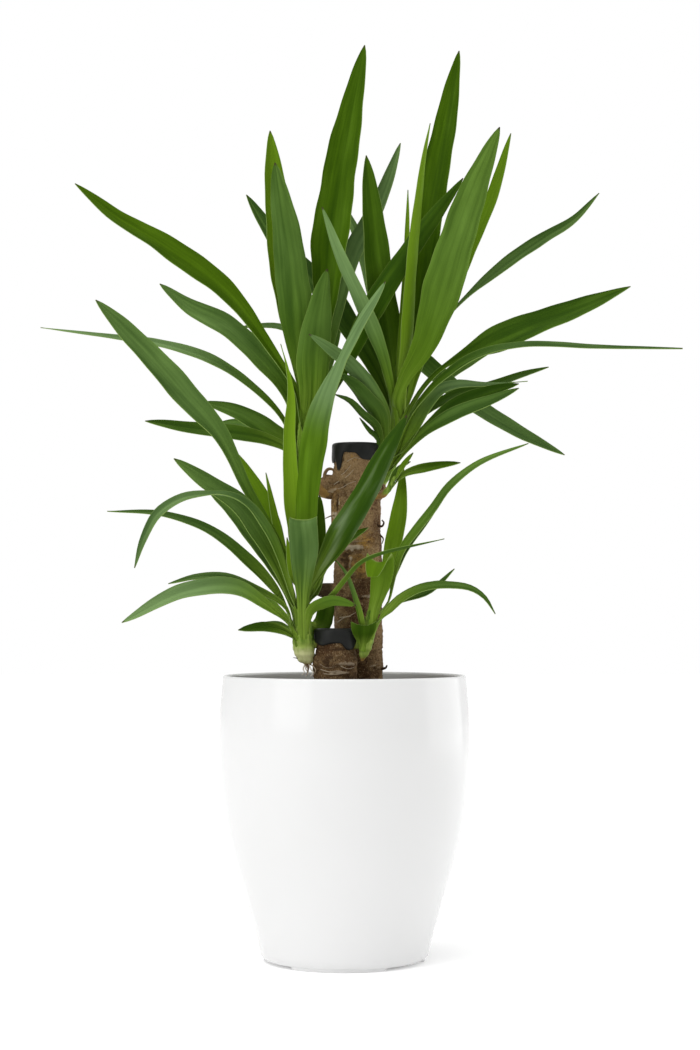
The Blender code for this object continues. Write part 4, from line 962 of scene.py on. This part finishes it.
def make_soil():
    """A rough dome of soil with crumbs on it, filling the pot."""
    edge, floor = inside_pot(SOIL_LEVEL), POT_FLOOR + SOIL_GAP
    rows = [(radius, soil_top(radius, edge)) for radius in (ON_AXIS, *np.arange(SOIL_RING, 94, SOIL_RING))]
    rows += [(edge - 0.5, SOIL_LEVEL)]
    rows += [(inside_pot(height), height) for height in range(SOIL_LEVEL - 3, POT_FLOOR + 4, -13)]
    rows += [(inside_pot(floor) - 3, floor), (ON_AXIS, floor)]
    soil = raised("soil_fill", rows, SOIL_STEPS)
    places = places_of(soil)
    _, far = around_axis(places)
    top = (places[:, 2] > SOIL_LEVEL - 1) * np.clip((edge - far) / 4, 0, 1)
    rough = ripple(places, 14, 2) + 0.6 * ripple(places, 5, 7) + 0.35 * ripple(places, 2.4, 11)
    places[:, 2] += np.minimum(SOIL_ROUGHNESS * rough, SOIL_MOST) * top
    set_places(soil, places)
    tidy_skin(soil, AXIS_WELD)
    paint_on(soil, crumb=0)
    soil = join([soil, *[make_crumb(number, edge) for number in range(CRUMBS)]], "soil_fill")
    smooth(soil, 70)
    finish_with(soil, "soil")
    settle(soil, "soil", "soil")


def make_crumb(number, edge):
    """One lump of bark, earth or pale grit, half sunk in the soil, clear of the canes."""
    chance = np.random.default_rng(CRUMB_SEED + number)
    clear = False
    while not clear:
        far, angle = edge * CRUMB_SPREAD * math.sqrt(chance.uniform()), chance.uniform(0, FULL_TURN)
        spot = np.array([far * math.cos(angle), far * math.sin(angle)])
        clear = all(
            np.hypot(*(spot - middle_line(cane, SOIL_LEVEL))) > cane["radius"] + CRUMB_CLEAR
            for cane in (TALL_CANE, SHORT_CANE)
        )
    size = chance.uniform(*CRUMB_SIZES)
    half_sizes = size * np.array([chance.uniform(0.8, 1.5), chance.uniform(0.6, 1), chance.uniform(0.35, 0.7)])
    crumb, shape = ball(2)
    shape *= (1 + 0.3 * ripple(shape, 0.9, number))[:, None] * half_sizes
    turn = np.array(Euler(chance.uniform(-0.5, 0.5, 2).tolist() + [chance.uniform(0, 6.28)]).to_matrix())
    set_places(crumb, shape @ turn.T + [*spot, soil_top(far, edge) + CRUMB_RISE])
    paint_on(crumb, crumb=chance.choice([0.25, 0.5, 0.75, 1.0], p=[0.35, 0.35, 0.2, 0.1]))
    return crumb


def settle(piece, slot, *nodes):
    """Fixes a finished piece to the body, in place of the plain solids that it stands for."""
    piece.data.validate()
    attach(piece, "root")
    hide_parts(*nodes)


# Finishes


class Wire:
    """What comes out of one socket. Sums on it add Math nodes."""

    def __init__(self, paint, socket):
        self.paint, self.socket = paint, socket

    def maths(self, operation, *others):
        return self.paint.sum(operation, self, *others)

    def __add__(self, other):
        return self.maths("ADD", other)

    def __sub__(self, other):
        return self.maths("SUBTRACT", other)

    def __rsub__(self, other):
        return self.paint.sum("SUBTRACT", other, self)

    def __mul__(self, other):
        return self.maths("MULTIPLY", other)

    def __abs__(self):
        return self.maths("ABSOLUTE")


class Paint:
    """A finish being mixed: node() adds a node, and sums on what it returns add the maths."""

    def __init__(self, name, roughness, **constants):
        finishes[name] = material = bpy.data.materials.new(name)
        material.use_nodes = True
        self.tree, self.spot = material.node_tree, None
        self.shader = self.tree.nodes["Principled BSDF"]
        self.shader.inputs["Roughness"].default_value = roughness
        for socket, value in constants.items():
            self.shader.inputs[socket.replace("_", " ")].default_value = value

    def feed(self, socket, value):
        if isinstance(value, Wire):
            self.tree.links.new(value.socket, socket)
        elif isinstance(value, tuple) and socket.type == "RGBA":
            socket.default_value = (*value, 1)
        else:
            socket.default_value = value

    def node(self, kind, settings=None, sockets=None, output=0):
        made = self.tree.nodes.new(kind)
        for name, value in (settings or {}).items():
            setattr(made, name, value)
        for name, value in (sockets or {}).items():
            self.feed(made.inputs[name], value)
        return Wire(self, made.outputs[output])

    def sum(self, operation, *values):
        return self.node("ShaderNodeMath", {"operation": operation}, dict(enumerate(values)))

    def step(self, value, low, high):
        """0 below low, 1 above high, and smooth between."""
        return self.node("ShaderNodeMapRange", {"interpolation_type": "SMOOTHSTEP"}, {0: value, 1: low, 2: high})

    def fall(self, value, low, high):
        return 1 - self.step(value, low, high)

    def blend(self, share, first, second):
        sockets = {0: share, 6: first, 7: second}
        return self.node("ShaderNodeMix", {"data_type": "RGBA"}, sockets, 2)

    def place(self, x, y, z):
        return self.node("ShaderNodeCombineXYZ", None, {0: x, 1: y, 2: z})

    def mottle(self, place, detail=2.0, roughness=0.5):
        sockets = {"Vector": place, "Scale": 1, "Detail": detail, "Roughness": roughness}
        return self.node("ShaderNodeTexNoise", None, sockets)

    def stored(self, name):
        return self.node("ShaderNodeAttribute", {"attribute_name": name}, None, 2)

    def on_blade(self):
        """How far across and how far up a blade, each from 0 to 1."""
        spot = self.node("ShaderNodeUVMap", {"uv_map": "UVMap"})
        return [self.node("ShaderNodeSeparateXYZ", None, {0: spot}, k) for k in (0, 1)]

    def on_object(self):
        """Object coordinates in millimetres, as three numbers."""
        if not self.spot:
            place = self.node("ShaderNodeTexCoord", None, None, 3)
            self.spot = [self.node("ShaderNodeSeparateXYZ", None, {0: place}, k) * 1000 for k in range(3)]
        return self.spot

    def grain(self, across, up, detail, roughness=0.5, shift=0):
        """Noise on a piece, with so many waves to the millimetre across it and up it."""
        x, y, z = self.on_object()
        return self.mottle(self.place(x * across + shift, y * across, z * up), detail, roughness)

    def colour(self, colour, *layers):
        """Sets the colour. Each layer is (share, colour), laid over those before it."""
        for share, layer in layers:
            colour = self.blend(share, colour, layer)
        self.feed(self.shader.inputs["Base Color"], colour)

    def gloss(self, value):
        self.feed(self.shader.inputs["Roughness"], value)

    def relief(self, height, strength, depth):
        sockets = {"Strength": strength, "Distance": depth * MM, "Height": height}
        self.feed(self.shader.inputs["Normal"], self.node("ShaderNodeBump", None, sockets))


def leaf_paint(name, lift, roughness, vein_strength):
    """Long parallel veins, soft bands, one half painted lighter as if lit and the other painted in shade, lighter
    patches partly painted sheen, a pale edge, a dark tip, and a yellow-green foot.
    """
    paint = Paint(name, roughness, Specular_IOR_Level=0.02, Coat_Roughness=0.28)
    across, up = paint.on_blade()
    side = across * 2 - 1
    width, length, chance = paint.stored("width"), paint.stored("length"), paint.stored("chance") * 90
    sideways, along = side * width * 0.5, up * length
    vein = paint.mottle(paint.place(sideways * 1.6, along * 0.012, chance), 3, 0.6)
    band = paint.mottle(paint.place(sideways * 0.25, along * 0.007, chance + 20))
    sheen_patch = paint.mottle(paint.place(sideways * 0.1, along * 0.02, chance + 50))
    streak = paint.mottle(paint.place(sideways * 0.5, along * 0.02, chance))
    # one half of each blade painted lighter as if lit and the other darker as if in shade, as on the two faces of a
    # fold
    half = paint.step(side, -0.12, 0.12) * 2 - 1
    # lighter in patches: partly the leaf's own mottling, partly painted sheen where the coat shines
    shade = paint.stored("light") + lift + (vein - 0.5) * 0.35 + (band - 0.5) * 0.75 + (sheen_patch - 0.5) * 0.9
    shade = shade + half * paint.stored("half") * 0.1
    # grey-blue towards the tip: partly the leaf's own bloom, partly painted sheen
    bloom = (paint.stored("bloom") + lift) * paint.step(up, 0.15, 0.7) * 0.85
    foot = paint.fall(along, 8, 95) * paint.fall(up, 0.15, 0.7) * paint.step(band * 0.5 + vein * 0.5, 0.3, 0.6)
    margin = paint.fall((1 - abs(side)) * width * 0.5, 0.1, 0.45) * 0.35
    dry = paint.step(along - length, -3.5, -0.5) * (1 - paint.stored("sound_tip"))
    paint.colour(
        paint.blend(paint.step(shade, -0.45, 1.35), LEAF_DARK, LEAF_LIGHT),
        (bloom, paint.blend(shade, BLOOM_AND_SHEEN_DARK, BLOOM_AND_SHEEN_LIGHT)),
        (paint.stored("youth"), paint.blend(vein, YOUNG_DARK, YOUNG_LIGHT)),
        (foot * paint.stored("foot") * 0.9, paint.blend(vein, FOOT_DARK, FOOT_LIGHT)),
        (paint.sum("MAXIMUM", margin, paint.stored("crease") * 0.8), MARGIN),
        (dry, DRY_TIP),
    )
    paint.gloss(streak * 0.18 + (roughness - 0.09))
    paint.feed(paint.shader.inputs["Coat Weight"], paint.step(sheen_patch + band * 0.4, 0.65, 0.95) * paint.stored("gleam"))
    paint.relief(vein, vein_strength, 0.25)


def mix_finishes():
    leaf_paint("leaf_upper", 0.0, 0.42, 0.25)
    leaf_paint("leaf_under", 0.06, 0.5, 0.4)

    paint = Paint("leaf_margin", 0.6, Specular_IOR_Level=0.03)
    _, up = paint.on_blade()
    grain = paint.mottle(paint.place(up * 40, 0, paint.stored("chance") * 90))
    paint.colour(paint.blend(grain, (0.10, 0.19, 0.03), (0.28, 0.37, 0.11)))
    paint.relief(grain, 0.1, 0.1)

    paint = Paint("shoot", 0.55, Specular_IOR_Level=0.08)
    streak, ring, pale = paint.grain(0.34, 0.03, 3), paint.grain(0.06, 0.9, 2), paint.stored("pale")
    paint.colour(
        paint.blend(paint.step(streak, 0.3, 0.72), (0.060, 0.140, 0.008), (0.30, 0.43, 0.070)),
        (paint.step(pale, 0, 0.5), paint.blend(streak, (0.20, 0.33, 0.04), (0.46, 0.56, 0.14))),
        # the palest cream of the shoot's foot: partly its own pale tone, partly painted highlight
        (paint.step(pale + streak * 0.4, 0.55, 1.15), paint.blend(streak, (0.44, 0.48, 0.16), (0.84, 0.84, 0.48))),
        (paint.step(ring, 0.58, 0.78) * 0.3, (0.30, 0.22, 0.10)),
        (paint.stored("woody"), paint.blend(streak, (0.13, 0.060, 0.018), (0.42, 0.26, 0.08))),
    )
    paint.relief(streak, 0.3, 0.3)

    paint = Paint("bark", 0.8, Specular_IOR_Level=0.06)
    height, mark = paint.on_object()[2], paint.stored("mark")
    broad, flake = paint.grain(0.055, 0.05, 3), paint.grain(0.2, 0.3, 4, 0.6)
    fine, speck = paint.grain(1.2, 0.7, 4, 0.6), paint.grain(0.6, 0.6, 2, shift=40)
    paint.colour(
        paint.blend(paint.step(broad + flake * 0.5, 0.58, 0.92), (0.090, 0.045, 0.019), (0.27, 0.175, 0.082)),
        (paint.step(height, 366, 384) * 0.6, (0.33, 0.215, 0.105)),
        (paint.fall(height, 250, 275) * 0.4, (0.060, 0.030, 0.013)),
        # pale flecks and dark specks of the bark, made strong enough to also paint the small highlights and shadows
        # of its roughness
        (paint.step(fine, 0.52, 0.72) * 0.6, (0.44, 0.34, 0.20)),
        (paint.fall(fine, 0.30, 0.47) * 0.8, (0.030, 0.016, 0.008)),
        (paint.fall(speck, 0.26, 0.34) * 0.8, (0.03, 0.016, 0.008)),
        (paint.stored("gold") * paint.step(flake + fine * 0.5, 0.5, 0.85), (0.36, 0.20, 0.045)),
        # pale on ridges and scars, dark in cracks and hollows: partly the bark's own tone, partly painted highlight
        # and painted shade
        (paint.step(mark, 0.2, 0.9) * 0.75, (0.52, 0.43, 0.31)),
        (paint.fall(mark, -0.7, -0.1) * 0.8, (0.045, 0.024, 0.012)),
        # the stub's dark end, partly dead wood and partly painted shade
        (paint.stored("stub") * 0.85, (0.035, 0.022, 0.014)),
        (paint.step(mark, 1.4, 1.9), (0.78, 0.72, 0.62)),
    )
    paint.relief(fine * 0.6 + flake * 0.8 + speck * 0.3, 0.8, 1.4)

    paint = Paint("wax", 0.36, Specular_IOR_Level=0.14)
    soft, fine = paint.grain(0.15, 0.15, 3), paint.grain(0.8, 0.8, 3)
    paint.colour(paint.blend(soft, (0.007, 0.0075, 0.007), (0.018, 0.019, 0.017)))
    paint.gloss(fine * 0.25 + 0.27)
    paint.relief(soft + fine * 0.3, 0.35, 0.6)

    paint = Paint("soil", 0.95, Specular_IOR_Level=0.1)
    broad, fine, crumb = paint.grain(0.06, 0.06, 3), paint.grain(0.7, 0.7, 4, 0.65), paint.stored("crumb")
    paint.colour(
        paint.blend(broad * 0.5 + fine * 0.5, (0.012, 0.008, 0.005), (0.085, 0.052, 0.03)),
        (paint.step(crumb, 0.3, 0.75) * 0.8, paint.blend(fine, (0.10, 0.05, 0.025), (0.22, 0.13, 0.07))),
        (paint.step(crumb, 0.85, 0.95), (0.62, 0.60, 0.55)),
    )
    paint.relief(fine, 0.8, 1.0)

    paint = Paint("pot_gloss", 0.16, Specular_IOR_Level=0.4)
    cloud, peel = paint.grain(0.01, 0.01, 2), paint.grain(0.12, 0.12, 1)
    paint.colour(paint.blend(cloud, (0.70, 0.70, 0.695), (0.73, 0.73, 0.73)))
    paint.gloss(cloud * 0.08 + 0.12)
    paint.relief(peel, 0.02, 0.4)

    paint = Paint("floor", 0.9, Specular_IOR_Level=0, Emission_Color=(1, 1, 1, 1), Emission_Strength=0.2)
    paint.colour(paint.blend(paint.grain(0.002, 1, 2), (0.93, 0.93, 0.93), (0.95, 0.95, 0.95)))


# Studio


def aim_at(thing, place, aim):
    thing.location = place
    thing.rotation_euler = (Vector(aim) - Vector(place)).to_track_quat("-Z", "Y").to_euler()


def make_softbox(name, place, aim, size, power):
    lamp = bpy.data.lights.new(name, "AREA")
    lamp.shape = "RECTANGLE"
    lamp.size, lamp.size_y = size
    lamp.energy = power
    thing = bpy.data.objects.new(name, lamp)
    bpy.context.scene.collection.objects.link(thing)
    aim_at(thing, place, aim)


def light_world(scene):
    """White surroundings: plain white behind the plant, and a softer white in its light and its reflections."""
    world = bpy.data.worlds.new("studio_white")
    scene.world = world
    world.use_nodes = True
    tree = world.node_tree
    rays = tree.nodes.new("ShaderNodeLightPath")
    light = tree.nodes["Background"]
    light.inputs["Color"].default_value = (1, 1, 1, 1)
    for ray, strength in (("Is Glossy Ray", WORLD_GLOSS), ("Is Camera Ray", 1)):
        shown = tree.nodes.new("ShaderNodeBackground")
        shown.inputs["Color"].default_value = (1, 1, 1, 1)
        shown.inputs["Strength"].default_value = strength
        choose = tree.nodes.new("ShaderNodeMixShader")
        tree.links.new(rays.outputs[ray], choose.inputs[0])
        tree.links.new(light.outputs[0], choose.inputs[1])
        tree.links.new(shown.outputs[0], choose.inputs[2])
        light = choose
    tree.nodes["Background"].inputs["Strength"].default_value = WORLD_LIGHT
    tree.links.new(light.outputs[0], tree.nodes["World Output"].inputs[0])


def make_studio():
    scene = bpy.context.scene
    eye = bpy.data.objects.new("front_view", bpy.data.cameras.new("front_view"))
    scene.collection.objects.link(eye)
    eye.data.lens = LENS
    aim_at(eye, (0, -EYE_DISTANCE * MM, EYE_HEIGHT * MM), (AIM[0] * MM, 0, AIM[1] * MM))
    scene.camera = eye

    put_down()
    bpy.ops.mesh.primitive_plane_add(size=14, location=(0, 0, 0))
    floor = bpy.context.object
    floor.name = "studio_floor"
    finish_with(floor, "floor")

    make_softbox("left_softbox", (-1.7, -1.5, 1.1), (0, 0, 0.35), (1.6, 1.8), 14)
    make_softbox("right_softbox", (2.0, 0.6, 0.9), (0, 0, 0.3), (2.2, 2.2), 20)
    overhead = bpy.data.lights.new("overhead", "SUN")
    overhead.energy = 1.8
    overhead.angle = math.radians(60)
    lamp = bpy.data.objects.new("overhead", overhead)
    scene.collection.objects.link(lamp)
    lamp.rotation_euler = Euler((math.radians(12), math.radians(-16), 0))
    light_world(scene)
    scene.view_settings.view_transform = "Standard"


finishes = {}
mix_finishes()
make_cane("tall_cane", TALL_CANE, KNOTS, [STUB], TALL_SCARS, "curl", CURLS)
make_cane("short_cane", SHORT_CANE, [], [], SHORT_SCARS, "rootlet", ROOTLETS)
make_wax("tall_cane_wax", TALL_CANE, TALL_WAX)
make_wax("short_cane_wax", SHORT_CANE, SHORT_WAX)
make_pot()
make_soil()
for head in HEADS:
    make_head(*head)
make_studio()
